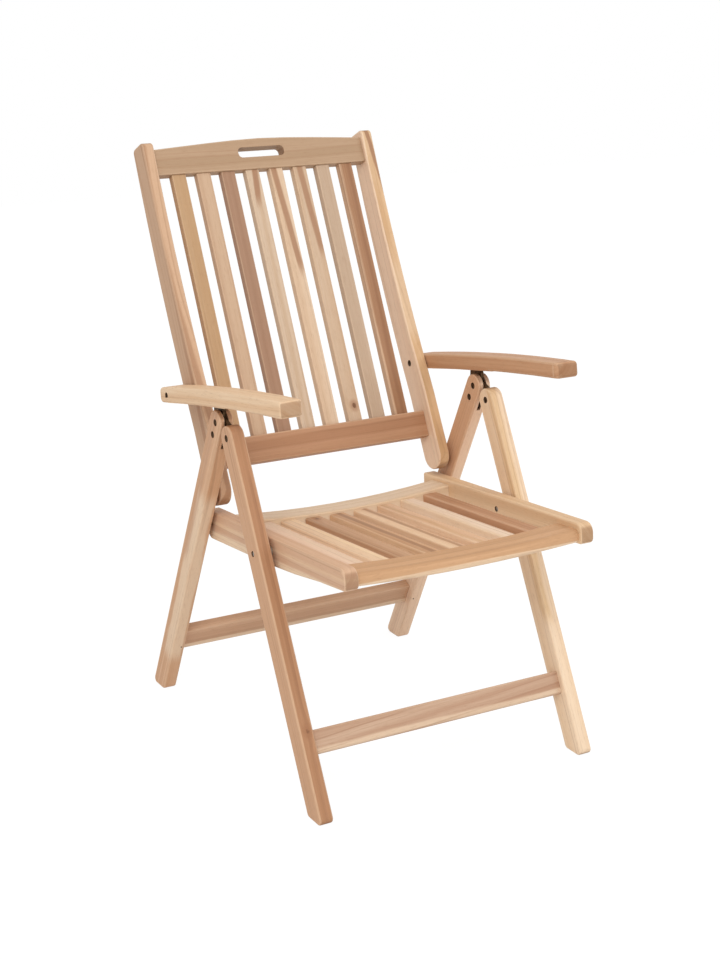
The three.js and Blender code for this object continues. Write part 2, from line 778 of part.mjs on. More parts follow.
/** Side outline of a back stile: deeper at its round foot, and bowed to the rear above the armrests. */
function stileOutline() {
  const bottom = -stileEndFromPivot;
  const top = bottom + stileLength;
  const edgeAt = (z, isRear) => {
    const share = (z - bottom) / stileLength;
    const front = -THREE.MathUtils.lerp(stileFootFront, stileTopFront, share);
    const depth = THREE.MathUtils.lerp(stileFootDepth, stileTopDepth, share);
    const bowShare = Math.max(0, (z - stileBowFromPivot) / (top - stileBowFromPivot));
    return front + 4 * stileBow * bowShare * (1 - bowShare) + (isRear ? depth : 0);
  };
  const heights = [];
  for (let step = 0; step < bendSteps; step += 1) {
    heights.push(THREE.MathUtils.lerp(stileBowFromPivot, top, step / bendSteps));
  }
  const rearEdge = heights.map((z) => [edgeAt(z, true), z]);
  const frontEdge = heights.map((z) => [edgeAt(z, false), z]).reverse();
  return rounded([
    [edgeAt(top, true), top, stileTopRadius],
    [edgeAt(top, false), top, stileTopRadius],
    ...frontEdge,
    [edgeAt(bottom, false), bottom, stileFootRadius],
    [edgeAt(bottom, true), bottom, stileFootRadius],
    ...rearEdge,
  ]);
}

/** The back, in a frame at the back pivot with +Z up its stiles and +Y to its rear. */
function back() {
  const group = leaning(backPivot, backLeanDegrees);
  const inner = stileInner - jointGap;
  const armBolt = armPivot.clone().sub(backPivot);
  const armY = armBolt.dot(across(backLeanDegrees));
  const armZ = armBolt.dot(along(backLeanDegrees));

  const topRailBottom = stileLength - stileEndFromPivot - topRailFromStileTop - topRailEndHeight;
  const lowerRailTop = lowerRailFromPivot + lowerRailHeight;
  const railDepths = (railFront) => [-railFront, backRailThickness - railFront];
  const railTenon = (side, [front, rear], railBottom, height) => [
    [side * (stileInner - jointGap), side * (stileInner + backTenonLength)],
    [front + backTenonShoulder, rear - backTenonShoulder],
    [railBottom + backTenonShoulder, railBottom + height - backTenonShoulder],
  ];
  const topTenon = (side) => railTenon(side, railDepths(topRailFront), topRailBottom, topRailEndHeight);
  const lowerTenon = (side) => (
    railTenon(side, railDepths(lowerRailFront), lowerRailFromPivot, lowerRailHeight)
  );

  const stileShape = stileOutline();
  for (const [sideName, side] of Object.entries(sides)) {
    const headSeat = side * (stileInner + boltRecess + boltHeadThickness + jointGap);
    const cutters = [
      mortise(...topTenon(side)),
      mortise(...lowerTenon(side)),
      rod(armY, armZ, boltRadius + boreClearance, side * stileInner, side * (stileOuter + overrun)),
      rod(armY, armZ, boltHeadRadius + boreClearance, side * (stileInner - overrun), headSeat),
      rod(
        0, 0, backPinRadius + boreClearance,
        side * (stileOuter - backPinDepth - jointGap), side * (stileOuter + overrun),
      ),
    ];
    const blank = fromSide(stileShape, side * stileInner, side * stileOuter);
    const colour = side < 0 ? colours.honeyTeak : colours.tanTeak;
    group.add(piece(`back_stile_${sideName}`, cut(blank, cutters), colour));
  }

  const slatFront = -backSlatFront;
  const slatRear = slatFront + backSlatThickness;
  const places = slatPlaces(backSlatCount, backSlatWidth, 2 * stileInner, backSlatEndGap);
  const tenonInset = backTenonShoulder / 2;
  const tenonHalf = backSlatWidth / 2 - tenonInset;
  const slatTenon = (x, from, to) => [
    [x - tenonHalf, x + tenonHalf], [slatFront + tenonInset, slatRear - tenonInset], [from, to],
  ];
  const upperEnd = [topRailBottom - jointGap, topRailBottom + backTenonLength];
  const lowerEnd = [lowerRailTop + jointGap, lowerRailTop - backTenonLength];

  const crownPoints = [];
  for (let step = 0; step <= bendSteps; step += 1) {
    const x = inner - (2 * inner * step) / bendSteps;
    crownPoints.push(new THREE.Vector2(x, topRailBottom + topRailEndHeight + crownAt(x)));
  }
  const topShape = new THREE.Shape([
    new THREE.Vector2(-inner, topRailBottom),
    new THREE.Vector2(inner, topRailBottom),
    ...crownPoints,
  ]);
  const gripBottom = topRailBottom + gripFromRailBottom;
  const grip = rounded([
    [-gripLength / 2, gripBottom, gripCornerRadius],
    [gripLength / 2, gripBottom, gripCornerRadius],
    [gripLength / 2, gripBottom + gripHeight, gripCornerRadius],
    [-gripLength / 2, gripBottom + gripHeight, gripCornerRadius],
  ]);
  const topBlank = joined([
    fromFront(topShape, ...railDepths(topRailFront)),
    ...Object.values(sides).map((side) => box(...topTenon(side))),
  ]);
  group.add(piece('back_top_rail', cut(topBlank, [
    fromFront(grip, -topRailFront - overrun, backRailThickness - topRailFront + overrun),
    ...places.map((x) => mortise(...slatTenon(x, ...upperEnd))),
  ]), colours.tanTeak));

  const lowerBlank = joined([
    box([-inner, inner], railDepths(lowerRailFront), [lowerRailFromPivot, lowerRailTop]),
    ...Object.values(sides).map((side) => box(...lowerTenon(side))),
  ]);
  group.add(piece(
    'back_lower_rail',
    cut(lowerBlank, places.map((x) => mortise(...slatTenon(x, ...lowerEnd)))),
    colours.rosyTeak,
  ));

  const slatColours = [colours.honeyTeak, colours.tanTeak, colours.rosyTeak, colours.paleTeak];
  places.forEach((x, index) => {
    const half = backSlatWidth / 2;
    const board = box([x - half, x + half], [slatFront, slatRear], [lowerEnd[0], upperEnd[0]]);
    const ends = [upperEnd, lowerEnd].map((end) => box(...slatTenon(x, ...end)));
    const colour = slatColours[index % slatColours.length];
    group.add(piece(`back_slat_${index + 1}`, joined([board, ...ends]), colour));
  });
  return group;
}

/** One armrest with its bolt and washer, in a frame at the armrest pivot with +Y to its rear. */
function armrest(sideName, side) {
  const group = leaning(armPivot, armSlopeDegrees);
  const half = armThickness / 2;
  const archAt = (y) => -4 * armArch * (y / armFront) * (1 + y / armFront);
  const lengthSteps = 12;
  const upper = [];
  const lower = [];
  for (let step = 1; step < lengthSteps; step += 1) {
    const y = armRear - ((armRear + armFront) * step) / lengthSteps;
    upper.push([y, half]);
    lower.unshift([y, -half]);
  }
  const sideShape = rounded([
    [armRear, half, armRearRadius],
    ...upper,
    [-armFront, half, armFrontRadius],
    [-armFront, -half, armFrontRadius],
    ...lower,
    [armRear, -half, armRearRadius],
  ]);
  const blank = bent(fromSide(sideShape, 0, side), (vertex) => {
    const forward = THREE.MathUtils.clamp((-vertex.y - armWaist) / (armFront - armWaist), 0, 1);
    const innerX = THREE.MathUtils.lerp(armInnerRear, armInnerFront, forward);
    const outerX = armOuter + armBow * THREE.MathUtils.clamp(archAt(vertex.y) / armArch, 0, 1);
    vertex.x = side * THREE.MathUtils.lerp(innerX, outerX, Math.abs(vertex.x));
    vertex.z += archAt(vertex.y) + armBoltDrop;
  });

  const stops = Array.from({ length: notchCount }, (_, index) => (
    noseInArmrest((reclineRangeDegrees * index) / (notchCount - 1))
  ));
  const crest = Math.max(...stops.map((stop) => stop.y)) + noseRadius + boreClearance;
  const slotHalf = plateThickness / 2 + slotClearance;
  const [rearStop, frontStop] = [stops[0].x, stops.at(-1).x];
  const runOut = neckWidth / 2 + overrun;
  const slotX = [side * (plateMiddle - slotHalf), side * (plateMiddle + slotHalf)];
  const notchRadius = noseRadius + boreClearance;
  const notchTop = crest + notchDepth - notchRadius;
  const cornerBox = box(
    [side * (armInnerFront - armCornerRadius), side * (armInnerFront + armCornerRadius)],
    [-armFront - armCornerRadius, -armFront + armCornerRadius],
    [-armThickness, armThickness],
  );
  const cornerHeight = 2 * armThickness + overrun;
  const cornerRod = new THREE.CylinderGeometry(armCornerRadius, armCornerRadius, cornerHeight, boreFacets)
    .rotateX(Math.PI / 2)
    .translate(side * (armInnerFront + armCornerRadius), -armFront + armCornerRadius, 0);
  const cutters = [
    box(slotX, [frontStop - runOut, rearStop + runOut], [-armThickness, crest]),
    ...stops.map(({ x }) => fromSide(
      band([new THREE.Vector2(x, 0), new THREE.Vector2(x, notchTop)], notchRadius),
      ...slotX,
    )),
    rod(0, 0, boltRadius + boreClearance, side * (armInnerRear - overrun), side * armOuter),
    rod(
      0, 0, boltHeadRadius + boreClearance,
      side * (armOuter - boltRecess - boltHeadThickness - jointGap), side * (armOuter + overrun),
    ),
    surface(solid(cornerBox).subtract(solid(cornerRod))),
  ];
  const colour = side < 0 ? colours.paleTeak : colours.honeyTeak;
  group.add(piece(`armrest_${sideName}`, cut(blank, cutters), colour));
  group.add(piece(
    `armrest_bolt_${sideName}`,
    bolt(0, 0, side * (stileInner + boltRecess), side * (armOuter - boltRecess)),
    colours.steel,
    1,
  ));
  group.add(piece(
    `armrest_washer_${sideName}`,
    ring(
      0, 0, washerRadius, boltRadius + boreClearance,
      side * (stileOuter + jointGap), side * (armInnerRear - jointGap),
    ),
    colours.steel,
    1,
  ));
  return group;
}

const chair = new THREE.Group();
chair.add(rearFrame(), linkPlates(), frontFrame(), seat(), backPivots(), back());
for (const [sideName, side] of Object.entries(sides)) chair.add(armrest(sideName, side));

// The origin is on the floor, under the middle of the chair's box
chair.updateMatrixWorld(true);
const middle = new THREE.Box3().setFromObject(chair, true).getCenter(new THREE.Vector3());
chair.position.y = -middle.y;

chair.userData = {
  shift: -middle.y,
  pivots: { legPivot, seatPivot, backPivot, armPivot, nose, guidePin: guidePinAt(0) },
  ratios: { seatRatio, armReclineRatio },
  ranges: { foldRangeDegrees, reclineRangeDegrees },
};

export default chair;
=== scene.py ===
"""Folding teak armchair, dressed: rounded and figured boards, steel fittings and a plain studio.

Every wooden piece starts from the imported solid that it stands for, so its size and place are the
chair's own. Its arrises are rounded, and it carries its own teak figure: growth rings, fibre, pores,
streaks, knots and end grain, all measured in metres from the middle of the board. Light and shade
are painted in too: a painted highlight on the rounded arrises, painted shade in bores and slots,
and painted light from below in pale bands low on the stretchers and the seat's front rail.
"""

import json  # noqa: E402
import logging  # noqa: E402
import math  # noqa: E402
from dataclasses import dataclass, field  # noqa: E402
from enum import Enum  # noqa: E402

import bmesh  # noqa: E402
import bpy  # noqa: E402
from mathutils import Matrix, Vector  # noqa: E402
from mathutils.bvhtree import BVHTree  # noqa: E402


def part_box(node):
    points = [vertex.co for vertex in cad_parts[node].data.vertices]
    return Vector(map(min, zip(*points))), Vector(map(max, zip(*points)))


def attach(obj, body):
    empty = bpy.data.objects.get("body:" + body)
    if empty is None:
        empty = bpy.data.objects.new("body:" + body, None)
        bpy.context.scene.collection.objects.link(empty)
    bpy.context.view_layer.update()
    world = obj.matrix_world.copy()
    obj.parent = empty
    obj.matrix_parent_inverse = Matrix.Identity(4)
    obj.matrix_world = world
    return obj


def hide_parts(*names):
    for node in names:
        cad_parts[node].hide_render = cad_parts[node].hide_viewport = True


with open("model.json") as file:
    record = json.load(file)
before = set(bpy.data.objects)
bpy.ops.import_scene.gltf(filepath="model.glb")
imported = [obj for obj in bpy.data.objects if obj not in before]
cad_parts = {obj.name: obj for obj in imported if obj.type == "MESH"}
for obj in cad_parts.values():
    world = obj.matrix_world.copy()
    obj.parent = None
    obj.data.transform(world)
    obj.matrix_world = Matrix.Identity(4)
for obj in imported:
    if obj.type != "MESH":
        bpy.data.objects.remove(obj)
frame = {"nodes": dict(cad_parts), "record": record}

log = logging.getLogger("armchair")

MM = 0.001
Rgb = tuple[int, int, int]
Pair = tuple[float, float]
Triple = tuple[float, float, float]
Socket = bpy.types.NodeSocket

# How far each frame of the chair leans or slopes, in degrees
FRONT_LEG_LEAN = 28.5
REAR_LEG_LEAN = -24.5
SEAT_TILT = 5.34
BACK_LEAN = 26.7
ARM_SLOPE = 10.1

# Limits that tell faces and edges apart, in metres, square metres and radians
MERGE_GAP = 2e-6
FLAT_ANGLE = math.radians(0.6)
FOLDED_AREA = 8e-6
ARRIS_ANGLE = math.radians(38)
LOOK_ACROSS = 0.2
HOLLOW_ACROSS = 0.015
CLEAR_OF_FACE = 2e-4
END_COSINE = 0.95

# Marks for the painted arris highlight and the painted shade in bores and slots, and how finely the arrises
# are rounded
ARRIS_LAYER = "arris"
HOLLOW_LAYER = "hollow"
ROUND_PROFILE = 0.5
ARRIS_SEGMENTS = 4
BOLD_SEGMENTS = 6

# The sRGB curve
SRGB_TOP = 255
SRGB_KNEE = 0.04045
SRGB_SLOPE = 12.92
SRGB_OFFSET = 0.055
SRGB_POWER = 2.4

# Seeds of the boards' figures and of their streaks
SEED_STEP = 7.3
STREAK_SEED_STEP = 3.1
SEED_TILT = 1.7

# A noise runs from 0 to 1, so it swings fully both ways at twice its distance from the middle
NOISE_MIDDLE = 0.5
FULL_SWING = 2.0

# How finely each part of the figure varies along, across and deep, for each metre
STRAY_STRETCH = (2.2, 9.0, 9.0)
FADE_STRETCH = (3.0, 30.0, 30.0)
FIBRE_STRETCH = (9.0, 420.0, 420.0)
PORE_STRETCH = (55.0, 1300.0, 1300.0)
FRINGE_STRETCH = (14.0, 500.0, 500.0)
SWAY_STRETCH = 5.0

# How finely each noise varies with the ring number, or in each metre
BROAD_SCALE = 0.42
LINE_SCALE = 1.7
RAGGED_SCALE = 260.0
CLOUD_SCALE = 160.0
SCUFF_SCALE = 900.0

# The values between which each mask goes smoothly from nothing to full
BROAD_STEP = (0.34, 0.66)
FADE_STEP = (0.3, 0.65)
LINE_STEP = (0.56, 0.72)
FIBRE_STEP = (0.3, 0.7)
PORE_STEP = (0.6, 0.74)
HEART_STEP = (0.95, 0.6)
HALO_STEP = (2.1, 0.9)
END_STEP = (0.62, 0.9)
CLOUD_STEP = (0.35, 0.7)
SCUFF_STEP = (0.55, 0.72)

# How the rings bend round a knot and how its heart is drawn out along the grain
SWELL_SQUASH = (0.45, 1.0, 1.0)
SWELL_BASE = 2.718
SWELL_FALL = -0.35
HEART_SQUASH = (0.75, 1.0, 1.0)
RAGGED_DEPTH = 0.5

# Depths of fibre and growth line beside that of a pore
FIBRE_DEPTH = 0.6
LINE_DEPTH = 0.25

# The ragged edge of a streak, as a share of its softness, and the length of its faded ends in metres
FRINGE_SHARE = 0.8
STREAK_FADE = 0.02

WHITE = (1.0, 1.0, 1.0, 1.0)
UP = Vector((0.0, 0.0, 1.0))


class Grain(Enum):
    """The way that the fibres of a board run."""

    UPRIGHT = "up a leg, a stile or a back slat"
    FORWARD = "along a seat rail, a seat slat or an armrest, towards the front"
    ACROSS = "from the left side of the chair to its right side"


@dataclass(frozen=True)
class Streak:
    """A band of another colour that runs with the grain; a few pale ones low on the cross rails are painted
    light from below.

    Attributes:
        facing: direction across the band in the board's own along, across and deep axes.
        place: distance of the band's middle from the board's middle along that direction, in metres.
        width: half the band's full-strength width, in metres.
        colour: the band's colour, as sRGB values.
        strength: how far the band replaces the wood's own colour.
        soft: width of each faded edge, in metres.
        span: where the band starts and ends along the board, in metres from its middle.
        wave: how far the band wanders, in metres.
    """

    facing: Triple
    place: float
    width: float
    colour: Rgb
    strength: float = 0.7
    soft: float = 0.004
    span: Pair = (-2.0, 2.0)
    wave: float = 0.002


@dataclass(frozen=True)
class Knot:
    """A small knot: its place from the middle of the board and its radius, in metres."""

    place: Triple
    size: float


NO_KNOT = Knot((0.0, 0.0, 0.5), 0.001)


@dataclass(frozen=True)
class Teak:
    """The finish of one teak board.

    Attributes:
        light: the paler wood between the growth rings, as sRGB values.
        dark: the browner wood of the broad bands.
        line: the narrow late-wood lines.
        pith: distance from the board's middle to the middle of the tree, across and deep, in metres.
        drift: how far the middle of the tree moves for each metre of the board.
        ring: distance between growth rings, in metres.
        wander: how far the rings stray along the board, in metres.
        contrast: strength of the broad bands.
        lines: strength of the late-wood lines.
        streaks: the board's own bands.
        knot: the board's knot.
    """

    light: Rgb
    dark: Rgb
    line: Rgb = (150, 104, 72)
    pith: Pair = (0.05, 0.07)
    drift: Pair = (0.01, 0.0)
    ring: float = 0.0055
    wander: float = 0.005
    contrast: float = 0.75
    lines: float = 0.3
    streaks: tuple[Streak, ...] = ()
    knot: Knot = NO_KNOT


@dataclass(frozen=True)
class Steel:
    """A dull metal finish: its two tones as sRGB values and its roughness."""

    tone: Rgb
    shade: Rgb
    roughness: float


@dataclass(frozen=True)
class Rounding:
    """How the arrises of a board are eased.

    Attributes:
        radius: the usual radius, in metres.
        ends: whether the arrises of the end faces are eased too.
        lower_front: the larger radius of a cross rail's lower front arris, in metres, or 0 for none.
    """

    radius: float
    ends: bool = False
    lower_front: float = 0.0


@dataclass(frozen=True)
class Board:
    """One wooden piece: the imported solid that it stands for, its grain, its edges and its finish."""

    node: str
    grain: Grain
    lean: float
    teak: Teak
    rounding: Rounding


def linear(colour: Rgb) -> tuple[float, float, float, float]:
    """Turns sRGB values from 0 to 255 into a linear colour with full alpha."""
    curve = []
    for part in (value / SRGB_TOP for value in colour):
        if part <= SRGB_KNEE:
            curve.append(part / SRGB_SLOPE)
        else:
            curve.append(((part + SRGB_OFFSET) / (1 + SRGB_OFFSET)) ** SRGB_POWER)
    return (*curve, 1.0)


def board_axes(grain: Grain, lean: float) -> Matrix:
    """Gives a board's own axes: along the grain, across it, and deep.

    Args:
        grain: the way that the fibres run.
        lean: the frame's lean in degrees, towards the rear for uprights.

    Returns:
        A turning matrix whose rows are the along, across and deep directions.
    """
    s, c = math.sin(math.radians(lean)), math.cos(math.radians(lean))
    rows = {
        Grain.UPRIGHT: ((0, s, c), (1, 0, 0), (0, c, -s)),
        Grain.FORWARD: ((0, -c, s), (1, 0, 0), (0, s, c)),
        Grain.ACROSS: ((1, 0, 0), (0, s, c), (0, -c, s)),
    }
    return Matrix(rows[grain])


class Net:
    """Adds nodes to a shader tree and joins them."""

    def __init__(self, tree: bpy.types.NodeTree) -> None:
        """Keeps the tree that the nodes go to."""
        self.tree = tree

    def feed(self, socket: Socket, value: object) -> None:
        """Links a socket to an input, or sets the input's own value."""
        if isinstance(value, bpy.types.NodeSocket):
            self.tree.links.new(value, socket)
        else:
            socket.default_value = value

    def node(self, kind: str, inputs: dict | None = None, **settings: object) -> bpy.types.Node:
        """Adds a node.

        Args:
            kind: the node's type name, without its ShaderNode prefix.
            inputs: values or sockets for its inputs, by name or number.
            settings: its properties.

        Returns:
            The node.
        """
        made = self.tree.nodes.new(kind if kind.startswith("NodeGroup") else f"ShaderNode{kind}")
        for name, value in settings.items():
            setattr(made, name, value)
        for key, value in (inputs or {}).items():
            self.feed(made.inputs[key], value)
        return made

    def math(self, operation: str, a: object, b: object = 0.0, clamp: bool = False) -> Socket:
        """Adds a Math node and gives its value."""
        made = self.node("Math", {0: a, 1: b}, operation=operation, use_clamp=clamp)
        return made.outputs[0]

    def vector(self, operation: str, a: object, b: object = (0.0, 0.0, 0.0)) -> Socket:
        """Adds a Vector Math node and gives its vector, or its value for a dot product."""
        made = self.node("VectorMath", {0: a, 1: b}, operation=operation)
        return made.outputs["Value" if operation in ("DOT_PRODUCT", "LENGTH") else "Vector"]

    def ease(self, value: object, low: object, high: object, start: float = 0.0, end: float = 1.0) -> Socket:
        """Adds a smooth step from one number to another as the value goes from low to high."""
        inputs = {"Value": value, "From Min": low, "From Max": high, "To Min": start, "To Max": end}
        return self.node("MapRange", inputs, interpolation_type="SMOOTHSTEP").outputs["Result"]

    def noise(self, scale: float, detail: float, **place: object) -> Socket:
        """Adds a Noise Texture.

        Args:
            scale: how finely it varies.
            detail: how many finer layers it has.
            place: W for a noise in one dimension, or Vector for one in three.

        Returns:
            Its value.
        """
        dimensions = "1D" if "W" in place else "3D"
        inputs = {"Scale": scale, "Detail": detail, **place}
        return self.node("TexNoise", inputs, noise_dimensions=dimensions).outputs["Fac"]

    def mix(self, factor: object, a: object, b: object) -> Socket:
        """Adds a colour Mix node.

        Args:
            factor: how far the second colour replaces the first.
            a: the first colour.
            b: the second colour.

        Returns:
            The mixed colour.
        """
        made = self.node("Mix", None, data_type="RGBA")
        self.feed(made.inputs["Factor"], factor)
        colours = [s for s in made.inputs if s.type == "RGBA"]
        self.feed(colours[0], a)
        self.feed(colours[1], b)
        return next(s for s in made.outputs if s.type == "RGBA")

    def lay(self, colour: object, tone: Rgb, mask: object, share: object) -> Socket:
        """Lays a tone over a colour, as far as a mask and a share of it say."""
        return self.mix(self.math("MULTIPLY", mask, share), colour, linear(tone))


class Effect:
    """A shader node group with named inputs and outputs, built once and placed in many materials."""

    def __init__(self, name: str, inputs: dict[str, object], outputs: tuple[str, ...]) -> None:
        """Makes the group's sockets.

        Args:
            name: the group's name.
            inputs: each input's name and usual value, a triple for a vector.
            outputs: the names of the numbers that it puts out.
        """
        self.tree = bpy.data.node_groups.new(name, "ShaderNodeTree")
        for label, value in inputs.items():
            kind = "NodeSocketVector" if isinstance(value, tuple) else "NodeSocketFloat"
            socket = self.tree.interface.new_socket(label, in_out="INPUT", socket_type=kind)
            socket.default_value = value
        for label in outputs:
            self.tree.interface.new_socket(label, in_out="OUTPUT", socket_type="NodeSocketFloat")
        self.net = Net(self.tree)
        self.given = self.net.node("NodeGroupInput").outputs
        self.result = self.net.node("NodeGroupOutput").inputs

    def put(self, **values: Socket) -> None:
        """Joins the results to the group's outputs."""
        for label, value in values.items():
            self.net.feed(self.result[label], value)

    def place(self, net: Net, **values: object) -> bpy.types.NodeOutputs:
        """Places the group in a material and gives its outputs."""
        made = net.node("Group", None, node_tree=self.tree)
        for label, value in values.items():
            net.feed(made.inputs[label.replace("_", " ")], value)
        return made.outputs


def figure_effect() -> Effect:
    """Builds the growth rings, fibre and pores of teak."""
    inputs = {
        "Board": (0.0, 0.0, 0.0),
        "Seed": 0.0,
        "Pith": (0.0, 0.05, 0.07),
        "Drift": (0.0, 0.0, 0.0),
        "Ring": 0.0055,
        "Wander": 0.005,
        "Knot": (0.0, 0.0, 0.5),
        "Knot Size": 0.001,
    }
    effect = Effect("teak_figure", inputs, ("Broad", "Line", "Fibre", "Pore", "Height"))
    net, given = effect.net, effect.given
    board, seed = given["Board"], given["Seed"]
    along = net.node("SeparateXYZ", {0: board}).outputs[0]
    shift = net.node("CombineXYZ", {0: seed, 1: net.math("MULTIPLY", seed, SEED_TILT)}).outputs[0]

    def stretched(stretch: Triple) -> Socket:
        """Gives the board's coordinates, each times a number, moved by the seed."""
        return net.vector("ADD", net.vector("MULTIPLY", board, stretch), shift)

    stray_noise = net.node("TexNoise", {"Vector": stretched(STRAY_STRETCH), "Scale": 1.0, "Detail": 2.0})
    stray = net.vector("SUBTRACT", stray_noise.outputs["Color"], (NOISE_MIDDLE,) * 3)
    stray = net.vector("SCALE", stray)
    net.feed(stray.node.inputs["Scale"], net.math("MULTIPLY", given["Wander"], FULL_SWING))
    drift = net.vector("SCALE", given["Drift"])
    net.feed(drift.node.inputs["Scale"], along)
    middle = net.vector("ADD", given["Pith"], drift)
    across = net.vector("ADD", net.vector("SUBTRACT", board, middle), stray)
    flat = net.vector("MULTIPLY", across, (0.0, 1.0, 1.0))
    from_knot = net.vector("MULTIPLY", net.vector("SUBTRACT", board, given["Knot"]), SWELL_SQUASH)
    reach = net.math("DIVIDE", net.vector("LENGTH", from_knot), given["Knot Size"])
    fall = net.math("MULTIPLY", net.math("MULTIPLY", reach, reach), SWELL_FALL)
    swell = net.math("POWER", SWELL_BASE, fall)
    radius = net.math("ADD", net.vector("LENGTH", flat), net.math("MULTIPLY", swell, given["Knot Size"]))
    rings = net.math("ADD", net.math("DIVIDE", radius, given["Ring"]), seed)
    broad = net.ease(net.noise(BROAD_SCALE, detail=1.5, W=rings), *BROAD_STEP)
    fade = net.ease(net.noise(1.0, detail=1.0, Vector=stretched(FADE_STRETCH)), *FADE_STEP)
    line = net.math("MULTIPLY", net.ease(net.noise(LINE_SCALE, detail=1.0, W=rings), *LINE_STEP), fade)
    fibre = net.noise(1.0, detail=2.0, Vector=stretched(FIBRE_STRETCH))
    pore = net.ease(net.noise(1.0, detail=1.0, Vector=stretched(PORE_STRETCH)), *PORE_STEP)
    relief = net.math("SUBTRACT", net.math("MULTIPLY", fibre, FIBRE_DEPTH), pore)
    height = net.math("SUBTRACT", relief, net.math("MULTIPLY", line, LINE_DEPTH))
    effect.put(Broad=broad, Line=line, Fibre=fibre, Pore=pore, Height=height)
    return effect


def streak_effect() -> Effect:
    """Builds the mask of one band that runs with the grain."""
    inputs = {
        "Board": (0.0, 0.0, 0.0),
        "Seed": 0.0,
        "Facing": (0.0, 1.0, 0.0),
        "Place": 0.0,
        "Width": 0.004,
        "Soft": 0.004,
        "Wave": 0.002,
        "Start": -2.0,
        "End": 2.0,
    }
    effect = Effect("teak_streak", inputs, ("Mask",))
    net, given = effect.net, effect.given
    board = given["Board"]
    along = net.node("SeparateXYZ", {0: board}).outputs[0]
    slow = net.math("ADD", net.math("MULTIPLY", along, SWAY_STRETCH), given["Seed"])
    sway = net.math("SUBTRACT", net.noise(1.0, detail=2.0, W=slow), NOISE_MIDDLE)
    grain = net.vector("MULTIPLY", board, FRINGE_STRETCH)
    fringe = net.math("SUBTRACT", net.noise(1.0, detail=2.0, Vector=grain), NOISE_MIDDLE)
    offset = net.math("SUBTRACT", net.vector("DOT_PRODUCT", board, given["Facing"]), given["Place"])
    swing = net.math("MULTIPLY", given["Wave"], FULL_SWING)
    offset = net.math("ADD", offset, net.math("MULTIPLY", sway, swing))
    fray = net.math("MULTIPLY", given["Soft"], FRINGE_SHARE)
    offset = net.math("ADD", offset, net.math("MULTIPLY", fringe, fray))
    edge = net.math("ADD", given["Width"], given["Soft"])
    band = net.ease(net.math("ABSOLUTE", offset), edge, given["Width"])
    outside = net.math("SUBTRACT", given["Start"], STREAK_FADE)
    head = net.ease(along, outside, net.math("ADD", given["Start"], STREAK_FADE))
    outside = net.math("ADD", given["End"], STREAK_FADE)
    tail = net.ease(along, outside, net.math("SUBTRACT", given["End"], STREAK_FADE))
    effect.put(Mask=net.math("MULTIPLY", band, net.math("MULTIPLY", head, tail)))
    return effect


def knot_effect() -> Effect:
    """Builds the dark heart of a knot and the brown wood round it."""
    inputs = {"Board": (0.0, 0.0, 0.0), "Knot": (0.0, 0.0, 0.5), "Knot Size": 0.001}
    effect = Effect("teak_knot", inputs, ("Heart", "Halo"))
    net, given = effect.net, effect.given
    away = net.vector("MULTIPLY", net.vector("SUBTRACT", given["Board"], given["Knot"]), HEART_SQUASH)
    ragged = net.noise(RAGGED_SCALE, detail=2.0, Vector=given["Board"])
    ragged = net.math("MULTIPLY", ragged, RAGGED_DEPTH)
    reach = net.math("ADD", net.math("DIVIDE", net.vector("LENGTH", away), given["Knot Size"]), ragged)
    effect.put(Heart=net.ease(reach, *HEART_STEP), Halo=net.ease(reach, *HALO_STEP))
    return effect


def end_effect() -> Effect:
    """Builds the mask of faces that cut across the fibres."""
    effect = Effect("teak_end_grain", {"Normal": (0.0, 0.0, 1.0), "Fibres": (0.0, 0.0, 1.0)}, ("Mask",))
    net, given = effect.net, effect.given
    turn = net.math("ABSOLUTE", net.vector("DOT_PRODUCT", given["Normal"], given["Fibres"]))
    effect.put(Mask=net.ease(turn, *END_STEP))
    return effect


def wear_effect() -> Effect:
    """Builds the speckle of a dull plated metal and its scuffs."""
    effect = Effect("metal_wear", {"Place": (0.0, 0.0, 0.0)}, ("Cloud", "Scuff", "Height"))
    net, given = effect.net, effect.given
    cloud = net.ease(net.noise(CLOUD_SCALE, detail=3.0, Vector=given["Place"]), *CLOUD_STEP)
    scuff = net.ease(net.noise(SCUFF_SCALE, detail=2.0, Vector=given["Place"]), *SCUFF_STEP)
    effect.put(Cloud=cloud, Scuff=scuff, Height=net.math("ADD", cloud, scuff))
    return effect


@dataclass(frozen=True)
class Coat:
    """A tone that lies over the wood in places: its sRGB values and the share of it that covers."""

    tone: Rgb
    share: float


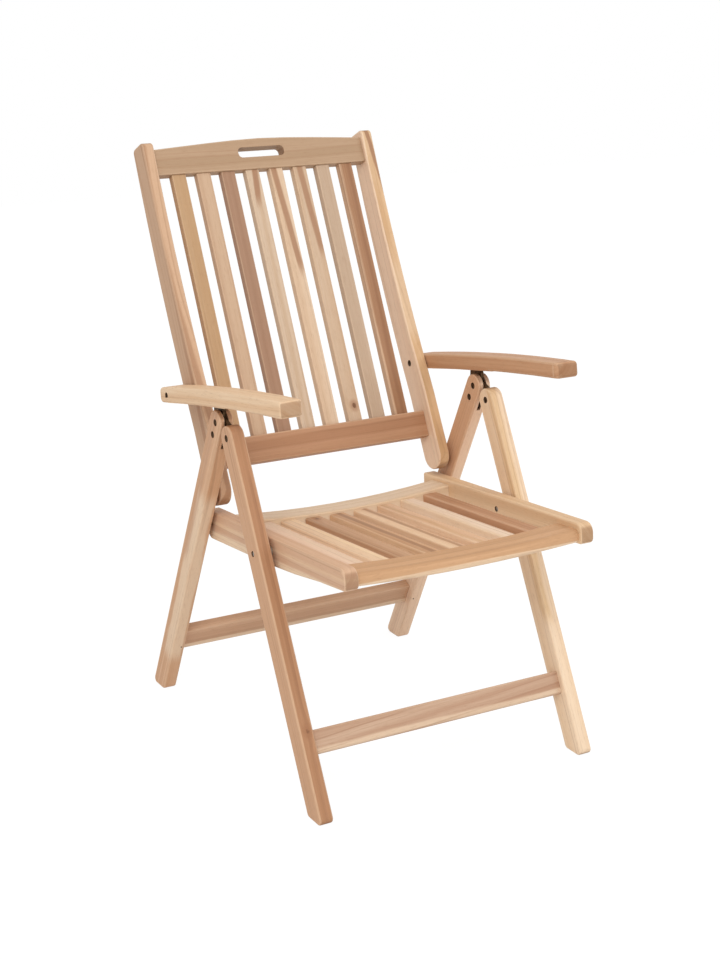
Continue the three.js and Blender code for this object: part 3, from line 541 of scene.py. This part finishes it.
@dataclass
class Finisher:
    """Makes the materials of the chair from its shared effects.

    Attributes:
        figure: growth rings, fibre and pores.
        streak: one band along the grain.
        knot: the marks of a knot.
        end: faces that cut across the fibres.
        wear: the speckle of dull metal.
        arris: the painted highlight along the rounded arrises.
        end_grain: the browner wood of cut ends.
        hollow: the painted shade in bores and slots.
        heart: the middle of a knot.
        halo: the wood round a knot.
        fibre_share: how far the fibre shows.
        pore_share: how far the pores show.
        wood_bump: strength and height in metres of the wood's relief.
        wood_rough: the wood's least and greatest roughness.
        wood_shine: how far the wood mirrors.
        steel_bump: strength and height in metres of the metal's relief.
        scuff_rough: roughness that a scuff adds to the metal.
    """

    figure: Effect = field(default_factory=figure_effect)
    streak: Effect = field(default_factory=streak_effect)
    knot: Effect = field(default_factory=knot_effect)
    end: Effect = field(default_factory=end_effect)
    wear: Effect = field(default_factory=wear_effect)
    # Painted highlight along the rounded arrises
    arris: Coat = Coat((232, 204, 172), 0.22)
    end_grain: Coat = Coat((134, 90, 56), 0.55)
    # Painted shade in bores and slots
    hollow: Coat = Coat((62, 44, 32), 0.85)
    heart: Coat = Coat((112, 72, 48), 0.85)
    halo: Coat = Coat((160, 110, 76), 0.55)
    fibre_share: float = 0.28
    pore_share: float = 0.3
    wood_bump: Pair = (0.35, 0.0003)
    wood_rough: Pair = (0.52, 0.66)
    wood_shine: float = 0.35
    steel_bump: Pair = (0.2, 0.0001)
    scuff_rough: float = 0.18

    def start(self, name: str) -> tuple[bpy.types.Material, Net, bpy.types.Node]:
        """Makes an empty material.

        Args:
            name: the material's name.

        Returns:
            The material, its tree and its Principled shader.
        """
        material = bpy.data.materials.new(name)
        material.use_nodes = True
        net = Net(material.node_tree)
        shader = next(n for n in material.node_tree.nodes if n.type == "BSDF_PRINCIPLED")
        return material, net, shader

    def teak(self, board: Board, seed: float, middle: Vector, axes: Matrix) -> bpy.types.Material:
        """Makes one board's material.

        Args:
            board: the board.
            seed: a number that gives the board its own random figure.
            middle: the middle of the board.
            axes: the board's own axes.

        Returns:
            The material.
        """
        teak, knot = board.teak, board.teak.knot
        material, net, shader = self.start(f"{board.node}_teak")
        texture = net.node("TexCoord").outputs
        mapping = net.node("Mapping", {"Vector": texture["Object"]})
        mapping.inputs["Rotation"].default_value = axes.to_euler("XYZ")
        mapping.inputs["Location"].default_value = -(axes @ middle)
        place = mapping.outputs[0]
        shape = {"Knot": knot.place, "Knot_Size": knot.size}
        wood = self.figure.place(
            net,
            Board=place,
            Seed=seed,
            Pith=(0.0, *teak.pith),
            Drift=(0.0, *teak.drift),
            Ring=teak.ring,
            Wander=teak.wander,
            **shape,
        )
        colour = net.lay(linear(teak.light), teak.dark, wood["Broad"], teak.contrast)
        fibre = net.ease(wood["Fibre"], *FIBRE_STEP, 0.0, self.fibre_share)
        colour = net.mix(fibre, colour, linear(teak.dark))
        for number, streak in enumerate(teak.streaks):
            mask = self.streak.place(
                net,
                Board=place,
                Seed=seed + STREAK_SEED_STEP * number,
                Facing=streak.facing,
                Place=streak.place,
                Width=streak.width,
                Soft=streak.soft,
                Wave=streak.wave,
                Start=streak.span[0],
                End=streak.span[1],
            )["Mask"]
            colour = net.lay(colour, streak.colour, mask, streak.strength)
        colour = net.lay(colour, teak.line, wood["Line"], teak.lines)
        if knot is not NO_KNOT:
            marks = self.knot.place(net, Board=place, **shape)
            colour = net.lay(colour, self.halo.tone, marks["Halo"], self.halo.share)
            colour = net.lay(colour, self.heart.tone, marks["Heart"], self.heart.share)
        # Painted highlight: the rounded arrises are lightened towards a pale tone
        arris_highlight = net.node("Attribute", None, attribute_name=ARRIS_LAYER).outputs["Fac"]
        colour = net.lay(colour, self.arris.tone, arris_highlight, self.arris.share)
        ends = self.end.place(net, Normal=texture["Normal"], Fibres=tuple(axes[0]))["Mask"]
        colour = net.lay(colour, self.end_grain.tone, ends, self.end_grain.share)
        colour = net.lay(colour, teak.line, wood["Pore"], self.pore_share)
        # Painted shade: faces of bores and slots, with a wall close opposite, are darkened
        hollow = net.node("Attribute", None, attribute_name=HOLLOW_LAYER).outputs["Fac"]
        colour = net.lay(colour, self.hollow.tone, hollow, self.hollow.share)
        strength, depth = self.wood_bump
        bump = net.node("Bump", {"Strength": strength, "Distance": depth, "Height": wood["Height"]})
        net.feed(shader.inputs["Base Color"], colour)
        net.feed(shader.inputs["Roughness"], net.ease(wood["Fibre"], *FIBRE_STEP, *self.wood_rough))
        net.feed(shader.inputs["Normal"], bump.outputs[0])
        shader.inputs["Specular IOR Level"].default_value = self.wood_shine
        return material

    def steel(self, name: str, steel: Steel) -> bpy.types.Material:
        """Makes a dull steel material.

        Args:
            name: the material's name.
            steel: its tones and roughness.

        Returns:
            The material.
        """
        material, net, shader = self.start(name)
        wear = self.wear.place(net, Place=net.node("TexCoord").outputs["Object"])
        colour = net.mix(wear["Cloud"], linear(steel.tone), linear(steel.shade))
        rough = net.ease(wear["Scuff"], 0.0, 1.0, steel.roughness, steel.roughness + self.scuff_rough)
        strength, depth = self.steel_bump
        bump = net.node("Bump", {"Strength": strength, "Distance": depth, "Height": wear["Height"]})
        net.feed(shader.inputs["Base Color"], colour)
        net.feed(shader.inputs["Roughness"], rough)
        net.feed(shader.inputs["Normal"], bump.outputs[0])
        shader.inputs["Metallic"].default_value = 1.0
        return material


def faces_wall(tree: BVHTree, face: bmesh.types.BMFace, reach: float) -> bool:
    """Tells whether the solid has a wall opposite a face.

    Args:
        tree: the solid's faces.
        face: the face to look out from.
        reach: how far to look, in metres.

    Returns:
        Whether a face that looks back is within reach.
    """
    step = face.normal * CLEAR_OF_FACE
    place, normal, _, _ = tree.ray_cast(face.calc_center_median() + step, face.normal, reach)
    if place is not None and normal @ face.normal > 0:
        place, normal, _, _ = tree.ray_cast(place + step, face.normal, reach)
    return place is not None


def open_faces(shape: bmesh.types.BMesh, reach: float) -> set[bmesh.types.BMFace]:
    """Gives the faces with no wall opposite them: a short reach leaves out only bores and slots."""
    tree = BVHTree.FromBMesh(shape)
    return {face for face in shape.faces if not faces_wall(tree, face, reach)}


def ease_edges(
    shape: bmesh.types.BMesh, edges: list[bmesh.types.BMEdge], radius: float, segments: int
) -> None:
    """Rounds edges and marks the new faces for the painted arris highlight.

    Args:
        shape: the board.
        edges: the edges to round.
        radius: their radius, in metres.
        segments: the number of faces across each rounding.
    """
    layer = shape.loops.layers.float[ARRIS_LAYER]
    made = bmesh.ops.bevel(
        shape,
        geom=edges,
        offset=radius,
        offset_type="OFFSET",
        segments=segments,
        profile=ROUND_PROFILE,
        affect="EDGES",
        clamp_overlap=False,
        loop_slide=False,
        material=-1,
    )
    for face in made["faces"]:
        for loop in face.loops:
            loop[layer] = 1.0


def folded_faces(shape: bmesh.types.BMesh) -> list[bmesh.types.BMFace]:
    """Lists the faces whose outline crosses itself, which are larger in triangles than as a whole."""
    cover: dict[bmesh.types.BMFace, float] = {}
    for a, b, c in shape.calc_loop_triangles():
        half = (b.vert.co - a.vert.co).cross(c.vert.co - a.vert.co).length / 2
        cover[a.face] = cover.get(a.face, 0.0) + half
    return [face for face, area in cover.items() if area - face.calc_area() > FOLDED_AREA]


def flat_region(start: bmesh.types.BMFace) -> list[bmesh.types.BMFace]:
    """Gathers the faces that lie in one plane with a face and join it."""
    found = [start]
    for reached in found:
        for edge in reached.edges:
            for face in edge.link_faces:
                if face not in found and face.normal.angle(start.normal, math.pi) < FLAT_ANGLE:
                    found.append(face)
    return found


def refill_folded(shape: bmesh.types.BMesh) -> None:
    """Fills each flat region with a folded face again, from the region's own outline."""
    while folded := folded_faces(shape):
        normal = folded[0].normal.copy()
        region = flat_region(folded[0])
        edges = list(dict.fromkeys(edge for face in region for edge in face.edges))
        outline = [edge for edge in edges if sum(face in region for face in edge.link_faces) == 1]
        inside = [edge for edge in edges if edge not in outline]
        bmesh.ops.delete(shape, geom=region, context="FACES_ONLY")
        bmesh.ops.delete(shape, geom=inside, context="EDGES")
        bmesh.ops.triangle_fill(shape, use_beauty=True, edges=outline, normal=normal)
    bmesh.ops.recalc_face_normals(shape, faces=shape.faces)


def long_arrises(shape: bmesh.types.BMesh, axes: Matrix, ends: bool) -> list[bmesh.types.BMEdge]:
    """Lists the outer arrises of a board.

    Args:
        shape: the board.
        axes: its own axes.
        ends: whether the arrises of its end faces count.

    Returns:
        The convex edges between two open faces.
    """
    outer = open_faces(shape, LOOK_ACROSS)
    found = []
    for edge in shape.edges:
        faces = edge.link_faces
        if len(faces) != 2 or not edge.is_convex or edge.calc_face_angle() < ARRIS_ANGLE:
            continue
        if not all(face in outer for face in faces):
            continue
        if not ends and any(abs(face.normal @ axes[0]) > END_COSINE for face in faces):
            continue
        found.append(edge)
    return found


def at_lower_front(edge: bmesh.types.BMEdge, axes: Matrix, middle: Vector) -> bool:
    """Tells whether an edge runs along the lower front of a cross rail.

    Args:
        edge: the edge.
        axes: the rail's own axes.
        middle: its middle.

    Returns:
        Whether the edge runs with the grain, below and in front of the middle.
    """
    first, second = (vert.co for vert in edge.verts)
    spot = axes @ ((first + second) / 2 - middle)
    return abs((second - first).normalized() @ axes[0]) > END_COSINE and spot.y < 0 < spot.z


def rounded_board(board: Board, axes: Matrix, middle: Vector) -> bpy.types.Object:
    """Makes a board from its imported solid, with eased arrises.

    Args:
        board: the board.
        axes: its own axes.
        middle: its middle.

    Returns:
        The finished object, at the origin.
    """
    shape = bmesh.new()
    shape.from_mesh(frame["nodes"][board.node].data)
    bmesh.ops.remove_doubles(shape, verts=shape.verts, dist=MERGE_GAP)
    bmesh.ops.dissolve_limit(shape, angle_limit=FLAT_ANGLE, verts=shape.verts, edges=shape.edges)
    shape.loops.layers.float.new(ARRIS_LAYER)
    hollow = shape.loops.layers.float.new(HOLLOW_LAYER)
    rounding = board.rounding
    if rounding.lower_front:
        bold = [edge for edge in long_arrises(shape, axes, False) if at_lower_front(edge, axes, middle)]
        ease_edges(shape, bold, rounding.lower_front, BOLD_SEGMENTS)
    ease_edges(shape, long_arrises(shape, axes, rounding.ends), rounding.radius, ARRIS_SEGMENTS)
    refill_folded(shape)
    # Marks the faces of bores and slots for the painted shade
    outer = open_faces(shape, HOLLOW_ACROSS)
    for face in shape.faces:
        face.smooth = True
        for loop in face.loops:
            loop[hollow] = float(face not in outer)
    for edge in shape.edges:
        edge.smooth = len(edge.link_faces) == 2 and edge.calc_face_angle() < ARRIS_ANGLE
    mesh = bpy.data.meshes.new(f"{board.node}_board")
    shape.to_mesh(mesh)
    shape.free()
    made = bpy.data.objects.new(f"{board.node}_board", mesh)
    bpy.context.scene.collection.objects.link(made)
    made.modifiers.new("even_normals", "WEIGHTED_NORMAL").keep_sharp = True
    return made


@dataclass
class Chair:
    """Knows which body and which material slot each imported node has, and dresses them."""

    finisher: Finisher = field(default_factory=Finisher)
    count: int = 0

    def __post_init__(self) -> None:
        """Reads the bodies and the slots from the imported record."""
        record = frame["record"]
        self.body = {n: b for b, nodes in record["behaviour"]["bodies"].items() for n in nodes}
        self.slot = {p["node"]: p["material_slot"] for p in record["subparts"]}

    def board(self, board: Board) -> None:
        """Builds one board, dresses it and puts it on its body."""
        self.count += 1
        axes = board_axes(board.grain, board.lean)
        low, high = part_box(board.node)
        middle = (low + high) / 2
        made = rounded_board(board, axes, middle)
        made.data.materials.append(self.finisher.teak(board, SEED_STEP * self.count, middle, axes))
        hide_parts(board.node)
        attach(made, self.body[board.node])
        log.info("%s: %d faces", made.name, len(made.data.polygons))

    def plate(self, nodes: tuple[str, ...], material: bpy.types.Material) -> None:
        """Gives packed steel nodes their finish."""
        for name in nodes:
            slots = frame["nodes"][name].material_slots
            for slot in slots:
                slot.material = material
            log.info("%s: %d slots", name, len(slots))


# Tones that streaks share, as sRGB values
CREAM = (232, 206, 176)
SAND = (208, 172, 140)
HONEY = (203, 160, 116)
ROSE = (190, 148, 118)
UMBER = (158, 112, 80)
DUSK = (136, 94, 66)

# How the boards of each kind are rounded
LEG = Rounding(radius=3 * MM, ends=True)
STILE = Rounding(radius=3 * MM, ends=True)
SLAT = Rounding(radius=2 * MM)
SEAT_SLAT = Rounding(radius=2.5 * MM)
ARM = Rounding(radius=4 * MM, ends=True)
STRETCHER = Rounding(radius=2.5 * MM, lower_front=8 * MM)

# The ways that a streak can face, in a board's own axes
ACROSS_FACE = (0.0, 1.0, 0.0)
DEEP_FACE = (0.0, 0.0, 1.0)


@dataclass
class RearFrame:
    """The two rear legs and their stretcher."""

    lean: float = REAR_LEG_LEAN

    def boards(self) -> list[Board]:
        """Lists the rear frame's boards."""
        left = Teak(
            (216, 174, 138),
            (194, 146, 108),
            pith=(0.03, 0.10),
            streaks=(
                Streak((0.0, 0.8, 0.6), -0.017, 0.006, CREAM, 0.7, 0.005, (-0.25, 0.16), 0.006),
                Streak(DEEP_FACE, 0.002, 0.005, ROSE, 0.5, 0.006, (0.0, 1.0)),
            ),
        )
        right = Teak(
            (242, 210, 180),
            (228, 192, 162),
            pith=(-0.04, -0.09),
            lines=0.25,
            streaks=(Streak(ACROSS_FACE, -0.013, 0.002, (196, 148, 110), 0.75, 0.003, (0.02, 1.0)),),
        )
        cross = Teak(
            (213, 174, 142),
            (194, 152, 120),
            pith=(0.06, -0.05),
            lines=0.35,
            streaks=(
                # The cream band low on the stretcher is painted light from below, bounced off the floor onto
                # its rounded lower front
                Streak(ACROSS_FACE, -0.018, 0.004, CREAM, 0.7),
                Streak(ACROSS_FACE, -0.008, 0.002, UMBER, 0.35),
            ),
        )
        return [
            Board("rear_leg_left", Grain.UPRIGHT, self.lean, left, LEG),
            Board("rear_leg_right", Grain.UPRIGHT, self.lean, right, LEG),
            Board("rear_stretcher", Grain.ACROSS, self.lean, cross, STRETCHER),
        ]


@dataclass
class FrontFrame:
    """The two front legs and their stretcher."""

    lean: float = FRONT_LEG_LEAN

    def boards(self) -> list[Board]:
        """Lists the front frame's boards."""
        left = Teak(
            (184, 136, 100),
            (168, 121, 86),
            pith=(0.07, -0.05),
            lines=0.4,
            streaks=(
                Streak(ACROSS_FACE, -0.014, 0.002, (212, 168, 132), 0.7, 0.003, wave=0.001),
                Streak(ACROSS_FACE, 0.002, 0.001, UMBER, 0.5, 0.004, (-0.4, 0.25), 0.003),
            ),
            knot=Knot((-0.195, 0.002, -0.022), 0.008),
        )
        right = Teak(
            (238, 212, 182),
            (228, 196, 160),
            pith=(0.05, 0.06),
            lines=0.25,
            streaks=(
                Streak((0.0, 0.7, -0.7), 0.004, 0.006, (216, 178, 130), 0.7, 0.006, (-0.1, 1.0), 0.003),
                Streak(DEEP_FACE, -0.023, 0.001, (206, 156, 112), 0.6, 0.003, (0.1, 1.0), 0.001),
            ),
        )
        cross = Teak(
            (202, 170, 144),
            (176, 134, 106),
            pith=(0.05, 0.05),
            drift=(0.05, 0.02),
            lines=0.4,
            # The cream band low on the stretcher is painted light from below, bounced off the floor onto its
            # rounded lower front
            streaks=(Streak(ACROSS_FACE, -0.016, 0.003, CREAM, 0.6),),
        )
        return [
            Board("front_leg_left", Grain.UPRIGHT, self.lean, left, LEG),
            Board("front_leg_right", Grain.UPRIGHT, self.lean, right, LEG),
            Board("front_stretcher", Grain.ACROSS, self.lean, cross, STRETCHER),
        ]


@dataclass
class Seat:
    """The seat's four rails and eight slats."""

    lean: float = SEAT_TILT

    def slats(self) -> list[Teak]:
        """Lists the seat slats' finishes, from left to right."""
        return [
            Teak(
                (234, 204, 176),
                (218, 178, 152),
                pith=(0.05, 0.08),
                streaks=(Streak(ACROSS_FACE, 0.006, 0.003, CREAM, 0.5),),
            ),
            Teak((238, 206, 168), (228, 194, 160), pith=(-0.06, 0.06)),
            Teak(
                (202, 161, 126),
                (170, 124, 88),
                pith=(0.03, 0.05),
                lines=0.5,
                knot=Knot((-0.16, 0.0, 0.009), 0.006),
            ),
            Teak(
                (218, 178, 138),
                (176, 128, 92),
                pith=(0.04, 0.05),
                lines=0.5,
                streaks=(Streak(ACROSS_FACE, 0.002, 0.003, DUSK, 0.5, 0.004, wave=0.004),),
            ),
            Teak(
                (234, 200, 164),
                (208, 168, 132),
                pith=(0.05, 0.07),
                streaks=(Streak(ACROSS_FACE, 0.006, 0.002, UMBER, 0.6, 0.004, wave=0.004),),
            ),
            Teak(
                (236, 204, 171),
                (215, 172, 135),
                pith=(0.02, 0.06),
                drift=(0.06, 0.0),
                streaks=(Streak(ACROSS_FACE, -0.004, 0.003, HONEY, 0.5, 0.004, wave=0.008),),
            ),
            Teak(
                (240, 216, 191),
                (229, 199, 171),
                pith=(0.05, -0.07),
                streaks=(Streak(ACROSS_FACE, -0.012, 0.003, (228, 196, 158), 0.6, 0.002),),
            ),
            Teak((200, 153, 118), (167, 118, 82), pith=(0.05, 0.04), lines=0.5),
        ]

    def boards(self) -> list[Board]:
        """Lists the seat's boards."""
        rail_left = Teak(
            (224, 190, 156),
            (206, 166, 132),
            pith=(-0.05, 0.04),
            streaks=(
                Streak(DEEP_FACE, 0.020, 0.006, (206, 164, 134), 0.6, 0.006),
                Streak(DEEP_FACE, -0.002, 0.004, (198, 156, 128), 0.6, 0.006, wave=0.004),
                Streak(DEEP_FACE, -0.018, 0.006, CREAM, 0.6, 0.006),
            ),
        )
        rail_right = Teak((229, 195, 156), (212, 174, 134), pith=(0.06, 0.05), lines=0.2)
        front = Teak(
            (208, 163, 122),
            (190, 146, 106),
            pith=(0.06, -0.05),
            # The pale band low on the front rail is painted light from below, bounced off the floor onto its
            # lower edge
            streaks=(Streak(ACROSS_FACE, -0.011, 0.006, (238, 208, 174), 0.9, 0.003, wave=0.0),),
        )
        rear = Teak((228, 202, 174), (219, 189, 154), pith=(0.05, 0.06), lines=0.2)
        rail = Rounding(radius=3.5 * MM, ends=True)
        found = [
            Board("seat_rail_left", Grain.FORWARD, self.lean, rail_left, rail),
            Board("seat_rail_right", Grain.FORWARD, self.lean, rail_right, rail),
            Board("seat_front_rail", Grain.ACROSS, self.lean, front, Rounding(radius=2 * MM)),
            Board("seat_rear_rail", Grain.ACROSS, self.lean, rear, Rounding(radius=3 * MM)),
        ]
        for number, teak in enumerate(self.slats(), 1):
            found.append(Board(f"seat_slat_{number}", Grain.FORWARD, self.lean, teak, SEAT_SLAT))
        return found


@dataclass
class Back:
    """The back's two stiles, two rails and eight slats."""

    lean: float = BACK_LEAN

    def slats(self) -> list[Teak]:
        """Lists the back slats' finishes, from left to right."""
        return [
            Teak((194, 161, 124), (180, 140, 100), pith=(0.05, 0.07)),
            Teak((200, 168, 138), (190, 154, 124), pith=(-0.05, 0.08), lines=0.2),
            Teak((170, 132, 106), (155, 118, 92), pith=(0.05, 0.05), lines=0.35),
            Teak(
                (208, 183, 157),
                (196, 166, 136),
                pith=(0.06, -0.06),
                lines=0.2,
                streaks=(Streak((-0.10, 1.0, 0.0), -0.020, 0.004, UMBER, 0.8, 0.004, (0.19, 1.0)),),
            ),
            Teak(
                (222, 196, 168),
                (207, 174, 142),
                pith=(0.05, 0.06),
                streaks=(Streak((0.07, 1.0, 0.0), 0.012, 0.004, UMBER, 0.8, 0.004, (0.05, 1.0)),),
            ),
            Teak(
                (208, 182, 156),
                (194, 160, 127),
                pith=(0.04, 0.06),
                streaks=(Streak((0.06, 1.0, 0.0), 0.014, 0.004, UMBER, 0.75, 0.004, (0.08, 1.0)),),
                knot=Knot((-0.225, 0.003, -0.008), 0.007),
            ),
            Teak((194, 168, 143), (184, 155, 128), pith=(-0.05, 0.07), lines=0.2),
            Teak(
                (168, 124, 90),
                (143, 100, 70),
                pith=(0.04, 0.05),
                lines=0.45,
                streaks=(Streak(ACROSS_FACE, -0.013, 0.002, SAND, 0.7, 0.002),),
            ),
        ]

    def boards(self) -> list[Board]:
        """Lists the back's boards."""
        left = Teak(
            (210, 172, 138),
            (202, 164, 132),
            pith=(0.06, 0.05),
            streaks=(
                Streak(ACROSS_FACE, -0.012, 0.002, (190, 154, 124), 0.85, 0.002),
                Streak((0.0, 0.7, 0.7), -0.020, 0.003, UMBER, 0.6, 0.004, wave=0.002),
            ),
        )
        right = Teak(
            (216, 178, 136),
            (198, 156, 112),
            pith=(0.05, 0.06),
            streaks=(
                Streak(ACROSS_FACE, -0.011, 0.002, (232, 200, 172), 0.85, 0.002),
                Streak(DEEP_FACE, -0.019, 0.002, CREAM, 0.4, 0.004),
                Streak((0.115, 1.0, 0.0), 0.039, 0.003, UMBER, 0.85, 0.003, (0.2, 1.0)),
            ),
        )
        top = Teak((181, 149, 119), (171, 139, 108), pith=(0.07, -0.06), lines=0.18, wander=0.008)
        low = Teak((187, 141, 107), (170, 122, 88), pith=(0.05, 0.06), lines=0.4)
        found = [
            Board("back_stile_left", Grain.UPRIGHT, self.lean, left, STILE),
            Board("back_stile_right", Grain.UPRIGHT, self.lean, right, STILE),
            Board("back_top_rail", Grain.ACROSS, self.lean, top, Rounding(radius=2.5 * MM)),
            Board("back_lower_rail", Grain.ACROSS, self.lean, low, Rounding(radius=2.5 * MM)),
        ]
        for number, teak in enumerate(self.slats(), 1):
            found.append(Board(f"back_slat_{number}", Grain.UPRIGHT, self.lean, teak, SLAT))
        return found


@dataclass
class Armrests:
    """The two armrests."""

    slope: float = ARM_SLOPE

    def boards(self) -> list[Board]:
        """Lists the armrests' boards."""
        left = Teak((230, 200, 166), (216, 176, 136), pith=(0.05, 0.08), lines=0.2)
        right = Teak((199, 155, 119), (181, 133, 97), pith=(-0.06, 0.05), lines=0.3)
        return [
            Board("armrest_left", Grain.FORWARD, self.slope, left, ARM),
            Board("armrest_right", Grain.FORWARD, self.slope, right, ARM),
        ]


@dataclass
class Fittings:
    """The bolts, pins, spacers, washers and link plates."""

    zinc: Steel = Steel((196, 188, 176), (150, 142, 132), 0.5)
    # Dark brown steel for the bolts, pins, spacers, washers and link plates: its brown is painted reflection
    # of the wood round it, and its darkness is partly painted shade
    dark_brown: Steel = Steel((108, 86, 62), (66, 50, 36), 0.55)

    def dress(self, chair: Chair) -> None:
        """Gives each packed steel node its finish."""
        dark = chair.finisher.steel("dark_brown_steel", self.dark_brown)
        bright = chair.finisher.steel("zinc_steel", self.zinc)
        steel = [n for n, s in chair.slot.items() if s == "steel"]
        chair.plate(tuple(n for n in steel if "seat_pivot" not in n), dark)
        chair.plate(tuple(n for n in steel if "seat_pivot" in n), bright)


@dataclass(frozen=True)
class Lamp:
    """A square soft lamp: its name, its place, its side in metres and its power in watts."""

    name: str
    place: Triple
    size: float
    power: float


@dataclass
class Studio:
    """The camera, the floor, the lamps and the white surroundings.

    Attributes:
        target: the point that the camera and the lamps look at.
        position: the camera's place.
        roll: the camera's turn about its line of sight, in degrees.
        lens: its focal length, in millimetres.
        sensor: the height of its sensor, in millimetres.
        floor_half: half the floor's side, in metres.
        floor_grey: the floor's own tone.
        floor_glow: the strength of the white that the floor shows to the camera.
        glow_share: how far that white replaces the floor's own tone.
        sky: the strength of the surroundings' light.
        lamps: the lamps.
    """

    target: Triple = (0.0, -0.0259, 0.4653)
    position: Triple = (-1.574, -2.7185, 1.467)
    roll: float = 0.589
    lens: float = 66.9
    sensor: float = 36.0
    floor_half: float = 6.0
    floor_grey: float = 0.86
    floor_glow: float = 1.08
    glow_share: float = 0.86
    sky: float = 0.72
    lamps: tuple[Lamp, ...] = (
        Lamp("key_lamp", (-2.2, -2.6, 3.6), 2.2, 78.0),
        Lamp("fill_lamp", (2.8, -1.6, 2.6), 2.4, 30.0),
    )

    def camera(self) -> None:
        """Sets the camera to the viewing angle."""
        data = bpy.data.cameras.new("view_camera")
        data.sensor_fit = "VERTICAL"
        data.sensor_height = self.sensor
        data.lens = self.lens
        made = bpy.data.objects.new("view_camera", data)
        bpy.context.scene.collection.objects.link(made)
        ahead = (Vector(self.target) - Vector(self.position)).normalized()
        right = ahead.cross(UP).normalized()
        up = right.cross(ahead)
        s, c = math.sin(math.radians(self.roll)), math.cos(math.radians(self.roll))
        turned = Matrix((right * c + up * s, up * c - right * s, -ahead)).transposed()
        made.matrix_world = Matrix.Translation(self.position) @ turned.to_4x4()
        bpy.context.scene.camera = made

    def white_rays(self, net: Net) -> Socket:
        """Gives 1 for rays that the camera, a mirror or glass sends out."""
        rays = net.node("LightPath").outputs
        seen = net.math("ADD", rays["Is Camera Ray"], rays["Is Glossy Ray"])
        return net.math("ADD", seen, rays["Is Transmission Ray"], clamp=True)

    def floor(self) -> None:
        """Lays a plain pale floor that keeps a faint shadow."""
        shape = bmesh.new()
        bmesh.ops.create_grid(shape, x_segments=1, y_segments=1, size=self.floor_half)
        mesh = bpy.data.meshes.new("floor")
        shape.to_mesh(mesh)
        shape.free()
        made = bpy.data.objects.new("floor", mesh)
        bpy.context.scene.collection.objects.link(made)
        material = bpy.data.materials.new("floor")
        material.use_nodes = True
        tree = material.node_tree
        tree.nodes.clear()
        net = Net(tree)
        matt = net.node("BsdfDiffuse", {"Color": (*(self.floor_grey,) * 3, 1.0)})
        glow = net.node("Emission", {"Color": WHITE, "Strength": self.floor_glow})
        share = net.math("MULTIPLY", self.white_rays(net), self.glow_share)
        both = net.node("MixShader", {0: share, 1: matt.outputs[0], 2: glow.outputs[0]})
        net.node("OutputMaterial", {"Surface": both.outputs[0]})
        mesh.materials.append(material)

    def hang(self, lamp: Lamp) -> None:
        """Hangs a lamp that points at the middle of the chair."""
        data = bpy.data.lights.new(lamp.name, "AREA")
        data.shape = "SQUARE"
        data.size = lamp.size
        data.energy = lamp.power
        made = bpy.data.objects.new(lamp.name, data)
        bpy.context.scene.collection.objects.link(made)
        ahead = (Vector(self.target) - Vector(lamp.place)).normalized()
        turn = ahead.to_track_quat("-Z", "Y").to_matrix().to_4x4()
        made.matrix_world = Matrix.Translation(lamp.place) @ turn

    def surroundings(self) -> None:
        """Makes the surroundings white to the eye and gives them a plain level of light."""
        world = bpy.data.worlds.new("surroundings")
        world.use_nodes = True
        bpy.context.scene.world = world
        tree = world.node_tree
        tree.nodes.clear()
        net = Net(tree)
        light = net.node("Background", {"Color": WHITE, "Strength": self.sky})
        white = net.node("Background", {"Color": WHITE, "Strength": 1.0})
        both = net.node("MixShader", {0: self.white_rays(net), 1: light.outputs[0], 2: white.outputs[0]})
        net.node("OutputWorld", {"Surface": both.outputs[0]})

    def build(self) -> None:
        """Builds the whole studio."""
        bpy.context.scene.view_settings.view_transform = "Standard"
        self.camera()
        self.floor()
        for lamp in self.lamps:
            self.hang(lamp)
        self.surroundings()


def main() -> None:
    """Builds and dresses the chair in order."""
    logging.basicConfig(level=logging.INFO, format="%(name)s %(message)s")
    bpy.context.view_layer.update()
    Studio().build()
    chair = Chair()
    for group in (RearFrame(), FrontFrame(), Seat(), Back(), Armrests()):
        for board in group.boards():
            chair.board(board)
    Fittings().dress(chair)


if __name__ == "__main__":
    main()
